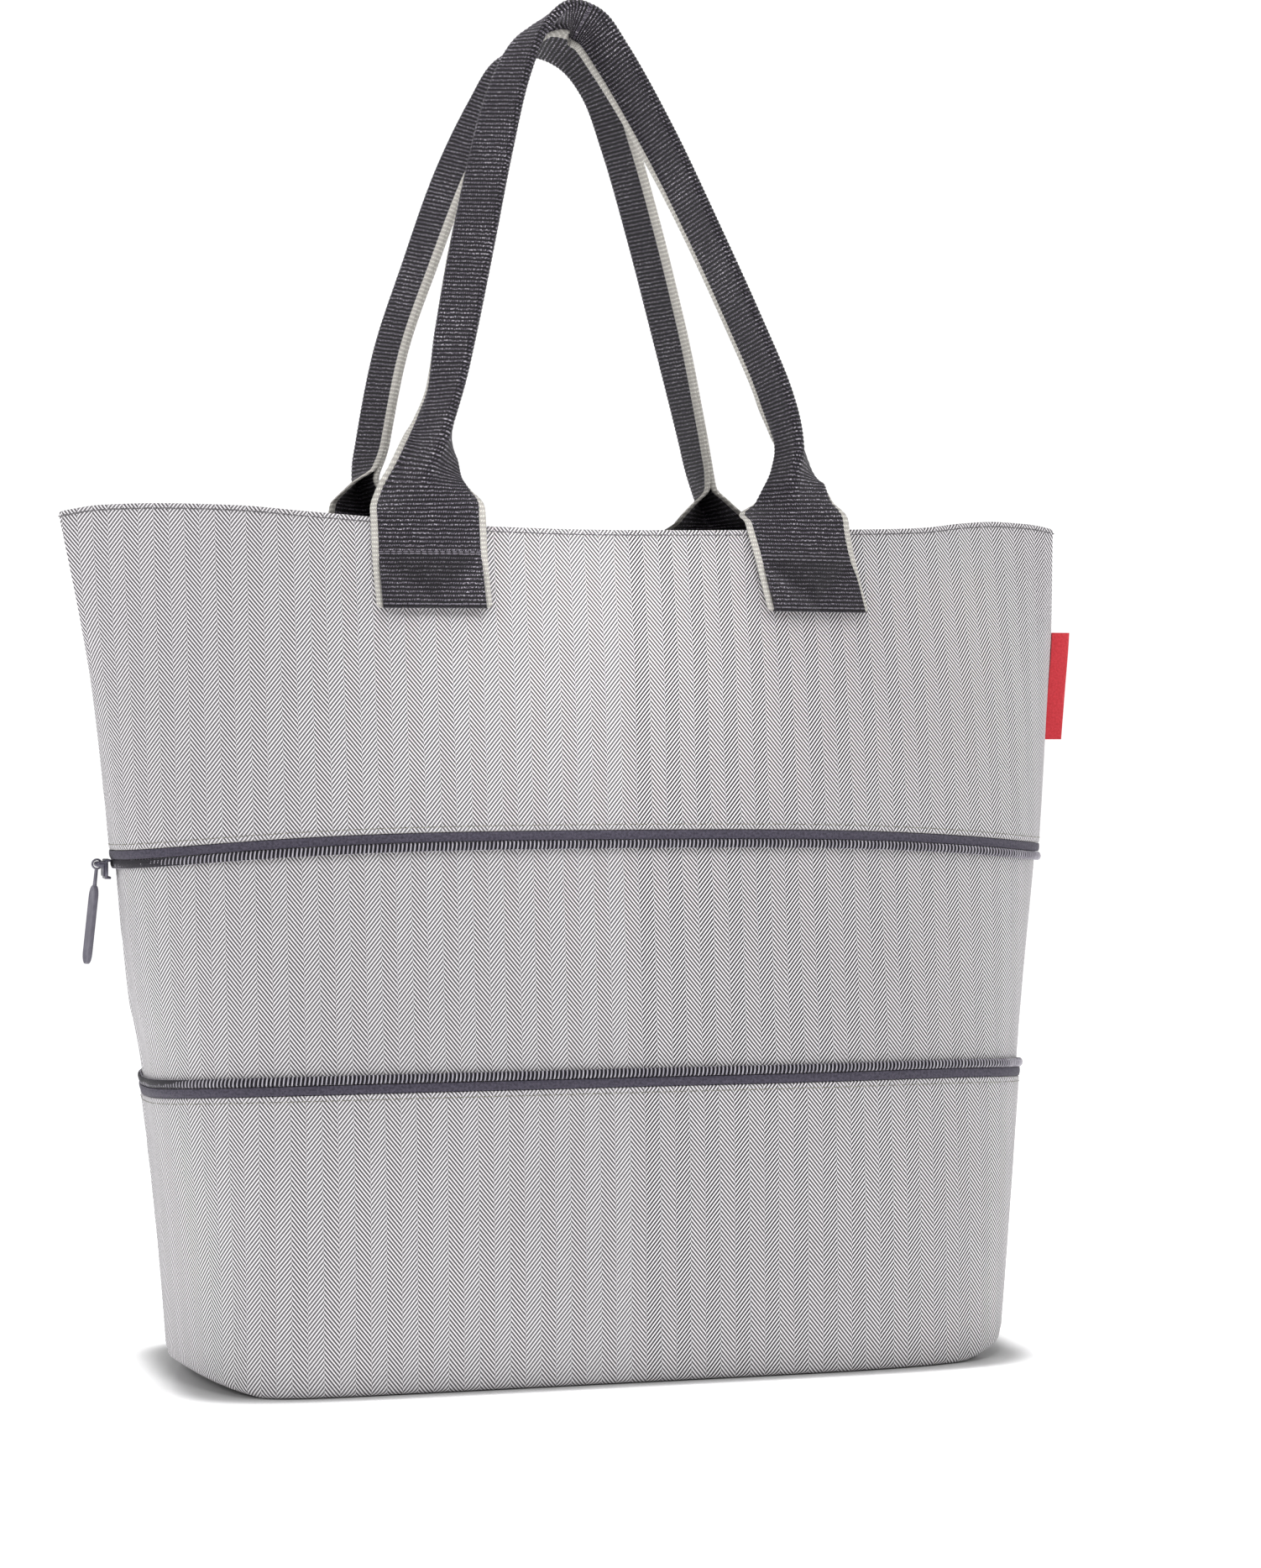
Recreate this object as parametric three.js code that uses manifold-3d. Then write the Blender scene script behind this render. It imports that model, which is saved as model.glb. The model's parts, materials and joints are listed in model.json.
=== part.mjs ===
// An expandable shopper bag: a soft tote in three cloth tiers that stands by itself, with an opened
// zip running round it above and below the middle tier, two folded webbing handles with corded edges,
// a zip slider with a hanging pull, and a bare label in the side seam.
// Millimetres, +Z up. The origin is the middle of the underside, the front panel faces -Y.

import * as THREE from "three";
import Module from "manifold-3d";

const wasm = await Module();
wasm.setup();

// Driving sizes of the cloth body.
const BAG_HEIGHT = 385;
const RIM_WIDTH = 487;
const RIM_DEPTH = 96;
const BASE_WIDTH = 384;
const BASE_DEPTH = 160;
const CLOTH_WALL = 1.6;
const BASE_EDGE_RADIUS = 7;
const BASE_END_LIFT = 9;
const BASE_FLAT_SHARE = 0.8;
const RIM_WAVE = 6;
const FIT_GAP = 0.3;

// Driving sizes of the opened zip.
const LOWER_TIER_TOP = 131;
const UPPER_TIER_BOTTOM = 245;
const LOWER_ZIP_DROOP = 5;
const UPPER_ZIP_DROOP = 9;
const TIER_TUCK = 12;
const TAPE_HEIGHT = 3.6;
const TAPE_THICKNESS = 1.2;
const COIL_HEIGHT = 4.2;
const COIL_THICKNESS = 3;

// Driving sizes of the slider and its pull.
const SLIDER_LENGTH = 13;
const SLIDER_HEIGHT = 9;
const SLIDER_PLATE = 1.4;
const BRIDGE_LENGTH = 10;
const BRIDGE_WIDTH = 2.6;
const BRIDGE_POST = 1.6;
const EYE_WIRE = 1.4;
const EYE_THICKNESS = 1.8;
const EYE_CLEARANCE = 0.4;
const PULL_LENGTH = 36;
const PULL_WIDTH = 8;
const PULL_THICKNESS = 2.6;
const PULL_NECK = 4;
const PULL_LEAN = 6;

// Driving sizes of the handles.
const HANDLE_SPACING = 172;
const HANDLE_RISE = 238;
const PATCH_DROP = 41;
const STRAP_WIDTH = 53;
const STRAP_THICKNESS = 1.6;
const CORD_DIAMETER = 2.6;
const FOLD_ROOM = 3.4;
const PATCH_GAP = 0.9;
const HEM_WIDTH = 4;
const LEVEL_RISE = 0.15;

// Driving sizes of the side label.
const LABEL_HEIGHT = 50;
const LABEL_REACH = 9;
const LABEL_THICKNESS = 1;
const LABEL_TOP = 337;

// Mesh fineness: points in a quarter of the plan, how far they gather towards its ends, sides of a cord,
// stations from one row of a handle's table to the next.
const QUARTER_STEPS = 14;
const PLAN_GATHER = 1.25;
const CORD_SIDES = 5;
const STATIONS_PER_ROW = 2;
const ARC_SAMPLES = 240;

// Sections of the cloth body from the base to the rim. level: share of the bag's height. left, right:
// share of the way from the base's half width to the rim's. closing: share of the way from the base's
// depth to the rim's. fullness and roundness: how square the plan is along its length and its ends.
const BODY_SECTIONS = [
  { level: 0.0, left: 0.0, right: 0.0, closing: 0.0, fullness: 5.0, roundness: 4.0 },
  { level: 0.16, left: 0.12, right: 0.12, closing: 0.02, fullness: 4.6, roundness: 3.6 },
  { level: 0.36, left: 0.29, right: 0.29, closing: 0.13, fullness: 4.0, roundness: 3.0 },
  { level: 0.62, left: 0.57, right: 0.56, closing: 0.42, fullness: 3.2, roundness: 2.2 },
  { level: 0.8, left: 0.72, right: 0.7, closing: 0.68, fullness: 2.6, roundness: 1.6 },
  { level: 0.88, left: 0.82, right: 0.79, closing: 0.81, fullness: 2.3, roundness: 1.3 },
  { level: 1.0, left: 1.0, right: 0.8, closing: 1.0, fullness: 2.0, roundness: 1.0 },
];

// Height of the rim along the bag. reach: share of the half width. wave: share of RIM_WAVE.
const RIM_LINE = [
  { reach: 0.0, wave: -1.0 },
  { reach: 0.25, wave: -0.85 },
  { reach: 0.55, wave: 0.05 },
  { reach: 0.85, wave: 0.85 },
  { reach: 1.0, wave: 0.0 },
];

// The front handle from its left patch over the top to its right patch. rise: share of HANDLE_RISE above
// the rim, or of PATCH_DROP below it. across: share of half of HANDLE_SPACING. lean: share of the panel's
// distance from the middle plane. facing: where the fold points, in degrees from straight out of the
// panel towards +X. tilt: how far the fold points up, in degrees. fold: how far each half of the strap
// turns back, in degrees. hem: how far the strap's two edges, laid on each other, turn sideways towards
// the inside of the arch, in degrees.
const FRONT_HANDLE = [
  { rise: -1.0, across: -0.965, lean: 1.0, facing: -8, tilt: 0, fold: 0, hem: 0 },
  { rise: -0.45, across: -0.98, lean: 1.0, facing: -8, tilt: 0, fold: 0, hem: 0 },
  { rise: 0.0, across: -0.98, lean: 1.02, facing: -8, tilt: 0, fold: 0, hem: 0 },
  { rise: 0.05, across: -0.98, lean: 1.06, facing: 2, tilt: 0, fold: 28, hem: 0 },
  { rise: 0.12, across: -0.93, lean: 1.04, facing: 16, tilt: 0, fold: 62, hem: 0 },
  { rise: 0.19, across: -0.855, lean: 0.96, facing: 28, tilt: 0, fold: 84, hem: 40 },
  { rise: 0.35, across: -0.725, lean: 0.82, facing: 40, tilt: 5, fold: 88, hem: 80 },
  { rise: 0.52, across: -0.61, lean: 0.68, facing: 46, tilt: 10, fold: 88, hem: 80 },
  { rise: 0.7, across: -0.5, lean: 0.56, facing: 48, tilt: 15, fold: 88, hem: 80 },
  { rise: 0.86, across: -0.39, lean: 0.5, facing: 43, tilt: 20, fold: 88, hem: 50 },
  { rise: 0.95, across: -0.28, lean: 0.48, facing: 30, tilt: 26, fold: 88, hem: 0 },
  { rise: 1.0, across: -0.13, lean: 0.48, facing: 18, tilt: 30, fold: 85, hem: 0 },
  { rise: 0.98, across: 0.02, lean: 0.49, facing: 20, tilt: 30, fold: 85, hem: 0 },
  { rise: 0.92, across: 0.11, lean: 0.52, facing: 22, tilt: 24, fold: 88, hem: 0 },
  { rise: 0.76, across: 0.34, lean: 0.62, facing: 18, tilt: 15, fold: 88, hem: 0 },
  { rise: 0.58, across: 0.59, lean: 0.74, facing: 15, tilt: 8, fold: 88, hem: 0 },
  { rise: 0.4, across: 0.81, lean: 0.88, facing: 13, tilt: 4, fold: 88, hem: 0 },
  { rise: 0.24, across: 0.975, lean: 1.0, facing: 12, tilt: 0, fold: 87, hem: 0 },
  { rise: 0.15, across: 1.01, lean: 1.05, facing: 12, tilt: 0, fold: 66, hem: 0 },
  { rise: 0.07, across: 1.03, lean: 1.07, facing: 10, tilt: 0, fold: 34, hem: 0 },
  { rise: 0.0, across: 1.03, lean: 1.02, facing: 8, tilt: 0, fold: 0, hem: 0 },
  { rise: -0.45, across: 1.08, lean: 1.0, facing: 9, tilt: 0, fold: 0, hem: 0 },
  { rise: -1.0, across: 1.135, lean: 1.0, facing: 9, tilt: 0, fold: 0, hem: 0 },
];

// The back handle, from its left patch, seen from the front, to its right one, in the same columns.
const BACK_HANDLE = [
  { rise: -1.0, across: -0.98, lean: 1.0, facing: -8, tilt: 0, fold: 0, hem: 0 },
  { rise: -0.45, across: -0.98, lean: 1.0, facing: -8, tilt: 0, fold: 0, hem: 0 },
  { rise: 0.0, across: -1.0, lean: 1.02, facing: -8, tilt: 0, fold: 0, hem: 0 },
  { rise: 0.05, across: -1.08, lean: 1.08, facing: -14, tilt: 0, fold: 44, hem: 0 },
  { rise: 0.1, across: -1.16, lean: 1.12, facing: -20, tilt: 0, fold: 76, hem: 0 },
  { rise: 0.17, across: -1.14, lean: 1.12, facing: -22, tilt: 0, fold: 88, hem: 0 },
  { rise: 0.35, across: -1.05, lean: 1.05, facing: -24, tilt: 0, fold: 88, hem: 0 },
  { rise: 0.52, across: -0.9, lean: 0.95, facing: -26, tilt: 0, fold: 88, hem: 0 },
  { rise: 0.7, across: -0.73, lean: 0.83, facing: -29, tilt: 0, fold: 88, hem: 0 },
  { rise: 0.84, across: -0.55, lean: 0.74, facing: -30, tilt: 0, fold: 88, hem: 0 },
  { rise: 0.91, across: -0.42, lean: 0.69, facing: -30, tilt: -6, fold: 88, hem: 0 },
  { rise: 0.937, across: -0.24, lean: 0.67, facing: -28, tilt: -10, fold: 88, hem: 0 },
  { rise: 0.915, across: -0.06, lean: 0.67, facing: -26, tilt: -8, fold: 88, hem: 0 },
  { rise: 0.86, across: 0.08, lean: 0.69, facing: -30, tilt: 0, fold: 88, hem: 0 },
  { rise: 0.76, across: 0.21, lean: 0.75, facing: -35, tilt: 0, fold: 88, hem: 0 },
  { rise: 0.6, across: 0.36, lean: 0.85, facing: -35, tilt: 0, fold: 88, hem: 0 },
  { rise: 0.4, across: 0.53, lean: 0.98, facing: -27, tilt: 0, fold: 88, hem: 0 },
  { rise: 0.2, across: 0.7, lean: 1.1, facing: -17, tilt: 0, fold: 88, hem: 0 },
  { rise: 0.12, across: 0.8, lean: 1.14, facing: -14, tilt: 0, fold: 86, hem: 0 },
  { rise: 0.05, across: 0.9, lean: 1.1, facing: -6, tilt: 0, fold: 56, hem: 0 },
  { rise: 0.0, across: 0.95, lean: 1.02, facing: 8, tilt: 0, fold: 0, hem: 0 },
  { rise: -0.45, across: 0.96, lean: 1.0, facing: 8, tilt: 0, fold: 0, hem: 0 },
  { rise: -1.0, across: 0.98, lean: 1.0, facing: 8, tilt: 0, fold: 0, hem: 0 },
];

// The finishes, as seen in even light.
const FINISHES = {
  cloth: { color: 0xb9b6b4, roughness: 0.85, metalness: 0 },
  webbing: { color: 0x4b4750, roughness: 0.8, metalness: 0 },
  cord: { color: 0xcfccc6, roughness: 0.85, metalness: 0 },
  tape: { color: 0x565262, roughness: 0.8, metalness: 0 },
  coil: { color: 0x5c586a, roughness: 0.45, metalness: 0 },
  slider: { color: 0x7c7986, roughness: 0.35, metalness: 0.7 },
  pull: { color: 0x84818f, roughness: 0.5, metalness: 0 },
  label: { color: 0xd8313f, roughness: 0.7, metalness: 0 },
};

const radians = THREE.MathUtils.degToRad;

// Smooth value of one column of a table at a share of the key column, by a cubic through its rows.
function columnAt(rows, key, column, share) {
  const last = rows.length - 1;
  let i = 0;
  while (i < last - 1 && share > rows[i + 1][key]) i += 1;
  return cubicBetween(rows, key, column, i, share);
}

// The cubic between rows i and i + 1, with slopes that never overshoot the rows beside them.
function cubicBetween(rows, key, column, i, share) {
  const slope = (a, b) => (rows[b][column] - rows[a][column]) / (rows[b][key] - rows[a][key]);
  const tangent = (j) => {
    if (j === 0) return slope(0, 1);
    if (j === rows.length - 1) return slope(j - 1, j);
    const before = slope(j - 1, j);
    const after = slope(j, j + 1);
    return before * after <= 0 ? 0 : (2 * before * after) / (before + after);
  };
  const span = rows[i + 1][key] - rows[i][key];
  const t = THREE.MathUtils.clamp((share - rows[i][key]) / span, 0, 1);
  return hermite(rows[i][column], rows[i + 1][column], tangent(i) * span, tangent(i + 1) * span, t);
}

function hermite(from, to, slopeFrom, slopeTo, t) {
  const t2 = t * t;
  const t3 = t2 * t;
  return (2 * t3 - 3 * t2 + 1) * from + (t3 - 2 * t2 + t) * slopeFrom
    + (3 * t2 - 2 * t3) * to + (t3 - t2) * slopeTo;
}

// Plan of the cloth body.

// A quarter of the plan from its end on the X axis to its middle, as points along its arc.
function quarterPlan(reach, depth, fullness, roundness) {
  const fine = [];
  for (let k = 0; k <= ARC_SAMPLES; k += 1) {
    const angle = (k / ARC_SAMPLES) * (Math.PI / 2);
    const x = reach * Math.cos(angle) ** (2 / fullness);
    const y = depth * Math.sin(angle) ** (2 / roundness);
    fine.push(new THREE.Vector2(k === ARC_SAMPLES ? 0 : x, y));
  }
  const lengths = [0];
  for (let k = 1; k < fine.length; k += 1) {
    lengths.push(lengths[k - 1] + fine[k].distanceTo(fine[k - 1]));
  }
  const total = lengths[lengths.length - 1];
  const points = [];
  for (let step = 0; step <= QUARTER_STEPS; step += 1) {
    const wanted = total * (step / QUARTER_STEPS) ** PLAN_GATHER;
    let k = 1;
    while (k < fine.length - 1 && lengths[k] < wanted) k += 1;
    const t = (wanted - lengths[k - 1]) / (lengths[k] - lengths[k - 1]);
    points.push(fine[k - 1].clone().lerp(fine[k], t));
  }
  return points;
}

// The sizes of the body's section at a height.
function sectionAt(height) {
  const level = THREE.MathUtils.clamp(height / BAG_HEIGHT, 0, 1);
  const column = (name) => columnAt(BODY_SECTIONS, "level", name, level);
  const spread = (RIM_WIDTH - BASE_WIDTH) / 2;
  return {
    left: BASE_WIDTH / 2 + spread * column("left"),
    right: BASE_WIDTH / 2 + spread * column("right"),
    depth: BASE_DEPTH / 2 + ((RIM_DEPTH - BASE_DEPTH) / 2) * column("closing"),
    fullness: column("fullness"),
    roundness: column("roundness"),
  };
}

// The whole plan at a height, anticlockwise from the right end, as 4 * QUARTER_STEPS points.
function planAt(height) {
  const { left, right, depth, fullness, roundness } = sectionAt(height);
  const rightQuarter = quarterPlan(right, depth, fullness, roundness);
  const leftQuarter = quarterPlan(left, depth, fullness, roundness);
  const outline = [];
  for (let k = 0; k < QUARTER_STEPS; k += 1) {
    outline.push(rightQuarter[k].clone());
  }
  for (let k = QUARTER_STEPS; k > 0; k -= 1) {
    outline.push(new THREE.Vector2(-leftQuarter[k].x, leftQuarter[k].y));
  }
  for (let k = 0; k < QUARTER_STEPS; k += 1) {
    outline.push(new THREE.Vector2(-leftQuarter[k].x, -leftQuarter[k].y));
  }
  for (let k = QUARTER_STEPS; k > 0; k -= 1) {
    outline.push(new THREE.Vector2(rightQuarter[k].x, -rightQuarter[k].y));
  }
  return outline;
}

// Moves a closed outline inwards by a distance, keeping its corners mitred.
function inset(outline, distance) {
  const count = outline.length;
  return outline.map((point, k) => {
    const before = point.clone().sub(outline[(k + count - 1) % count]).normalize();
    const after = outline[(k + 1) % count].clone().sub(point).normalize();
    const first = new THREE.Vector2(-before.y, before.x);
    const second = new THREE.Vector2(-after.y, after.x);
    const mitre = first.clone().add(second).divideScalar(1 + first.dot(second));
    return point.clone().addScaledVector(mitre, distance);
  });
}

// How far the front panel stands from the middle plane at a place along the bag and a height.
function panelDepth(x, height) {
  const { left, right, depth, fullness, roundness } = sectionAt(height);
  const share = Math.min(Math.abs(x) / (x < 0 ? left : right), 1);
  return depth * (1 - share ** fullness) ** (1 / roundness);
}

// The heights of the tiers' edges. Each takes a point's share of the half width, from 0 to 1.
const rimHeight = (share) => BAG_HEIGHT + RIM_WAVE * columnAt(RIM_LINE, "reach", "wave", share);
const upperEdge = (share) => UPPER_TIER_BOTTOM - UPPER_ZIP_DROOP * share ** 3;
const lowerEdge = (share) => LOWER_TIER_TOP - LOWER_ZIP_DROOP * share ** 6;
const upperTapeTop = (share) => upperEdge(share) - FIT_GAP;
const upperCoilTop = (share) => upperTapeTop(share) - TAPE_HEIGHT - FIT_GAP;
const lowerTapeBottom = (share) => lowerEdge(share) + FIT_GAP;
const lowerCoilBottom = (share) => lowerTapeBottom(share) + TAPE_HEIGHT + FIT_GAP;

// A ring of points round the body, lying on it at a height that may vary along the bag, moved inwards.
function ring(heightOf, insetBy) {
  const shares = planAt(BAG_HEIGHT / 2).map((p) => {
    const { left, right } = sectionAt(BAG_HEIGHT / 2);
    return Math.min(Math.abs(p.x) / (p.x < 0 ? left : right), 1);
  });
  return shares.map((share, k) => {
    const height = heightOf(share);
    const point = inset(planAt(height), insetBy)[k];
    return new THREE.Vector3(point.x, point.y, height);
  });
}

// A solid from rows of points that each go once round, the last row joining the first.
function closedBand(rows) {
  const count = rows[0].length;
  const corners = [];
  rows.forEach((row, i) => {
    const next = rows[(i + 1) % rows.length];
    for (let k = 0; k < count; k += 1) {
      corners.push(...patchBetween(row, next, k, (k + 1) % count));
    }
  });
  return geometryOf(corners);
}

// Two triangles between points k and j of two rows, split the same way on both faces of a wall.
function patchBetween(row, next, k, j) {
  return next[k].z >= row[k].z
    ? [row[k], row[j], next[j], row[k], next[j], next[k]]
    : [row[k], row[j], next[k], row[j], next[j], next[k]];
}

// A solid from rows of points, closed at both ends by a fan round a middle point.
function cappedBand(rows, firstMiddle, lastMiddle) {
  const count = rows[0].length;
  const corners = [];
  for (let i = 0; i < rows.length - 1; i += 1) {
    for (let k = 0; k < count; k += 1) {
      corners.push(...patchBetween(rows[i], rows[i + 1], k, (k + 1) % count));
    }
  }
  for (let k = 0; k < count; k += 1) {
    const j = (k + 1) % count;
    const lastRow = rows[rows.length - 1];
    corners.push(firstMiddle, rows[0][j], rows[0][k]);
    corners.push(lastMiddle, lastRow[k], lastRow[j]);
  }
  return geometryOf(corners);
}

function geometryOf(corners) {
  const geometry = new THREE.BufferGeometry().setFromPoints(corners);
  geometry.computeVertexNormals();
  return geometry;
}

// A tube-like cloth wall through rows at the given heights, with its outer face moved inwards.
function clothWall(heights, outerInset) {
  const outer = heights.map((heightOf) => ring(heightOf, outerInset));
  const inner = heights.map((heightOf) => ring(heightOf, outerInset + CLOTH_WALL));
  return closedBand([...outer, ...inner.reverse()]);
}

// Height functions that divide the stretch between two others into equal parts, without its ends.
function between(fromHeight, toHeight, parts) {
  const heights = [];
  for (let i = 1; i < parts; i += 1) {
    heights.push((share) => THREE.MathUtils.lerp(fromHeight(share), toHeight(share), i / parts));
  }
  return heights;
}

const belowLowerEdge = (share) => lowerEdge(share) - TIER_TUCK;
const aboveUpperEdge = (share) => upperEdge(share) + TIER_TUCK;

function upperTier() {
  return clothWall([upperEdge, aboveUpperEdge, ...between(aboveUpperEdge, rimHeight, 5), rimHeight], 0);
}

// The middle tier is tucked behind the other two, with a row wherever one of theirs ends.
function middleTier() {
  const heights = [
    belowLowerEdge, lowerEdge, ...between(lowerEdge, upperEdge, 3), upperEdge, aboveUpperEdge,
  ];
  return clothWall(heights, CLOTH_WALL + FIT_GAP);
}

// The lower tier is a wall and the bag's bottom in one, with a rounded edge that lifts at both ends.
function lowerTier() {
  const liftAt = (x, reach) => {
    const share = Math.max((Math.abs(x) / reach - BASE_FLAT_SHARE) / (1 - BASE_FLAT_SHARE), 0);
    return BASE_END_LIFT * share ** 2;
  };
  const baseRow = (insetBy, height) => {
    const outline = inset(planAt(height), insetBy);
    const { left, right } = sectionAt(0);
    return outline.map((p) => {
      const reach = p.x < 0 ? left : right;
      return new THREE.Vector3(p.x, p.y, height + liftAt(Math.min(Math.abs(p.x), reach), reach));
    });
  };
  const edgeTop = () => BASE_EDGE_RADIUS + BASE_END_LIFT + FIT_GAP;
  const wallHeights = [edgeTop, ...between(edgeTop, belowLowerEdge, 3), belowLowerEdge, lowerEdge];
  const innerRadius = BASE_EDGE_RADIUS - CLOTH_WALL;
  const roundedEdge = (radius, insetBy, floor) => [
    baseRow(insetBy + radius, floor),
    baseRow(insetBy + radius * (1 - Math.SQRT1_2), floor + radius * (1 - Math.SQRT1_2)),
    baseRow(insetBy, floor + radius),
  ];
  const rows = [
    baseRow(BASE_EDGE_RADIUS * 2.5, 0).map((p) => p.setZ(0)),
    ...roundedEdge(BASE_EDGE_RADIUS, 0, 0),
    ...wallHeights.map((heightOf) => ring(heightOf, 0)),
    ...wallHeights.map((heightOf) => ring(heightOf, CLOTH_WALL)).reverse(),
    ...roundedEdge(innerRadius, CLOTH_WALL, CLOTH_WALL).reverse(),
    baseRow(BASE_EDGE_RADIUS * 2.5, 0).map((p) => p.setZ(CLOTH_WALL)),
  ];
  return cappedBand(rows, new THREE.Vector3(0, 0, 0), new THREE.Vector3(0, 0, CLOTH_WALL));
}

// A zip tape: a thin band lying just outside the middle tier.
function zipTape(bottomOf) {
  const outer = CLOTH_WALL - TAPE_THICKNESS;
  const topOf = (share) => bottomOf(share) + TAPE_HEIGHT;
  return closedBand([
    ring(bottomOf, outer), ring(topOf, outer), ring(topOf, CLOTH_WALL), ring(bottomOf, CLOTH_WALL),
  ]);
}

// A zip coil: a rounded band whose back lies just outside the middle tier.
function zipCoil(bottomOf) {
  const back = CLOTH_WALL;
  const front = CLOTH_WALL - COIL_THICKNESS;
  const middle = (back + front) / 2;
  const at = (t) => (share) => bottomOf(share) + COIL_HEIGHT * t;
  return closedBand([
    ring(at(0), middle), ring(at(0.22), front), ring(at(0.78), front), ring(at(1), middle), ring(at(0.5), back),
  ]);
}

// The slider sits on the upper coil at the left side seam, its bridge a round rod along Y.
const sliderHeight = upperCoilTop(1) - COIL_HEIGHT / 2;
const coilFace = -sectionAt(sliderHeight).left + (CLOTH_WALL - COIL_THICKNESS);
const plateInner = coilFace - FIT_GAP;
const plateOuter = plateInner - SLIDER_PLATE;
const eyeInnerRadius = BRIDGE_WIDTH / 2 + EYE_CLEARANCE;
const eyeOuterRadius = eyeInnerRadius + EYE_WIRE;
const hingeX = plateOuter - eyeOuterRadius - EYE_CLEARANCE;

// The solid that manifold-3d makes of a closed geometry.
function solidOf(geometry) {
  const position = geometry.index ? geometry.toNonIndexed().attributes.position : geometry.attributes.position;
  const vertices = [];
  const triangles = [];
  const seen = new Map();
  for (let k = 0; k < position.count; k += 1) {
    const corner = [position.getX(k), position.getY(k), position.getZ(k)];
    const key = corner.map((value) => value.toFixed(4)).join(" ");
    if (!seen.has(key)) {
      seen.set(key, seen.size);
      vertices.push(...corner);
    }
    triangles.push(seen.get(key));
  }
  return new wasm.Manifold(new wasm.Mesh({
    numProp: 3, vertProperties: new Float32Array(vertices), triVerts: new Uint32Array(triangles),
  }));
}

// Joins several closed geometries into one.
function joined(geometries) {
  const whole = geometries.map(solidOf).reduce((sum, solid) => sum.add(solid));
  const mesh = whole.getMesh();
  const geometry = new THREE.BufferGeometry();
  geometry.setAttribute("position", new THREE.BufferAttribute(new Float32Array(mesh.vertProperties), 3));
  geometry.setIndex([...mesh.triVerts]);
  return geometry;
}

function boxBetween(low, high) {
  const size = high.map((value, axis) => value - low[axis]);
  const box = new THREE.BoxGeometry(...size);
  return box.translate(...low.map((value, axis) => value + size[axis] / 2));
}

// Plate over the coil with a lip above and below it, two posts, and the rod that the pull hangs on.
function slider() {
  const half = SLIDER_LENGTH / 2;
  const low = sliderHeight - SLIDER_HEIGHT / 2;
  const high = sliderHeight + SLIDER_HEIGHT / 2;
  const lip = (SLIDER_HEIGHT - COIL_HEIGHT) / 2 - FIT_GAP - TAPE_THICKNESS / 2;
  const postOuter = hingeX - BRIDGE_WIDTH / 2;
  const rod = new THREE.CylinderGeometry(BRIDGE_WIDTH / 2, BRIDGE_WIDTH / 2, BRIDGE_LENGTH - BRIDGE_POST, 8);
  const posts = [-1, 1].map((side) => {
    const outer = side * (BRIDGE_LENGTH / 2);
    const inner = side * (BRIDGE_LENGTH / 2 - BRIDGE_POST);
    return boxBetween(
      [postOuter, Math.min(outer, inner), sliderHeight - BRIDGE_WIDTH / 2],
      [plateOuter + SLIDER_PLATE / 2, Math.max(outer, inner), sliderHeight + BRIDGE_WIDTH / 2],
    );
  });
  return joined([
    boxBetween([plateOuter, -half, low], [plateInner, half, high]),
    boxBetween([plateOuter, -half, low], [plateInner + COIL_THICKNESS / 3, half, low + lip]),
    rod.translate(hingeX, 0, sliderHeight),
    ...posts,
  ]);
}

// Round eye on the rod, a neck, and a flat tab with round ends, hanging at the lean in the photograph.
function zipPull() {
  const eyeShape = new THREE.Shape().absarc(0, 0, eyeOuterRadius, 0, Math.PI * 2);
  eyeShape.holes.push(new THREE.Path().absarc(0, 0, eyeInnerRadius, 0, Math.PI * 2, true));
  const eye = new THREE.ExtrudeGeometry(eyeShape, { depth: EYE_THICKNESS, bevelEnabled: false, curveSegments: 8 });
  eye.translate(0, 0, -EYE_THICKNESS / 2).rotateX(Math.PI / 2);
  const tabTop = -eyeOuterRadius - PULL_NECK;
  const radius = PULL_WIDTH / 2;
  const tabShape = new THREE.Shape();
  tabShape.absarc(0, tabTop - radius, radius, 0, Math.PI);
  tabShape.absarc(0, tabTop - PULL_LENGTH + radius, radius, Math.PI, Math.PI * 2);
  const tab = new THREE.ExtrudeGeometry(tabShape, {
    depth: PULL_THICKNESS, bevelEnabled: false, curveSegments: 8,
  });
  tab.translate(0, 0, -PULL_THICKNESS / 2).rotateX(Math.PI / 2).rotateZ(Math.PI / 2);
  const neckHalf = EYE_WIRE / 2;
  const neck = boxBetween(
    [-neckHalf, -EYE_THICKNESS / 2, tabTop - radius / 2],
    [neckHalf, EYE_THICKNESS / 2, -eyeInnerRadius - EYE_WIRE / 2],
  );
  return joined([eye, tab.rotateX(0), neck]).rotateY(radians(PULL_LEAN));
}

// The label is a folded ribbon whose inner edge follows the right side seam.
function sideLabel() {
  const seam = (height) => sectionAt(height).right + FIT_GAP;
  const low = LABEL_TOP - LABEL_HEIGHT;
  const shape = new THREE.Shape([
    new THREE.Vector2(seam(low), low),
    new THREE.Vector2(seam(low) + LABEL_REACH, low),
    new THREE.Vector2(seam(LABEL_TOP) + LABEL_REACH, LABEL_TOP),
    new THREE.Vector2(seam(LABEL_TOP), LABEL_TOP),
  ]);
  const label = new THREE.ExtrudeGeometry(shape, { depth: LABEL_THICKNESS, bevelEnabled: false });
  return label.translate(0, 0, -LABEL_THICKNESS / 2).rotateX(Math.PI / 2);
}

// Handles.

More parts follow.
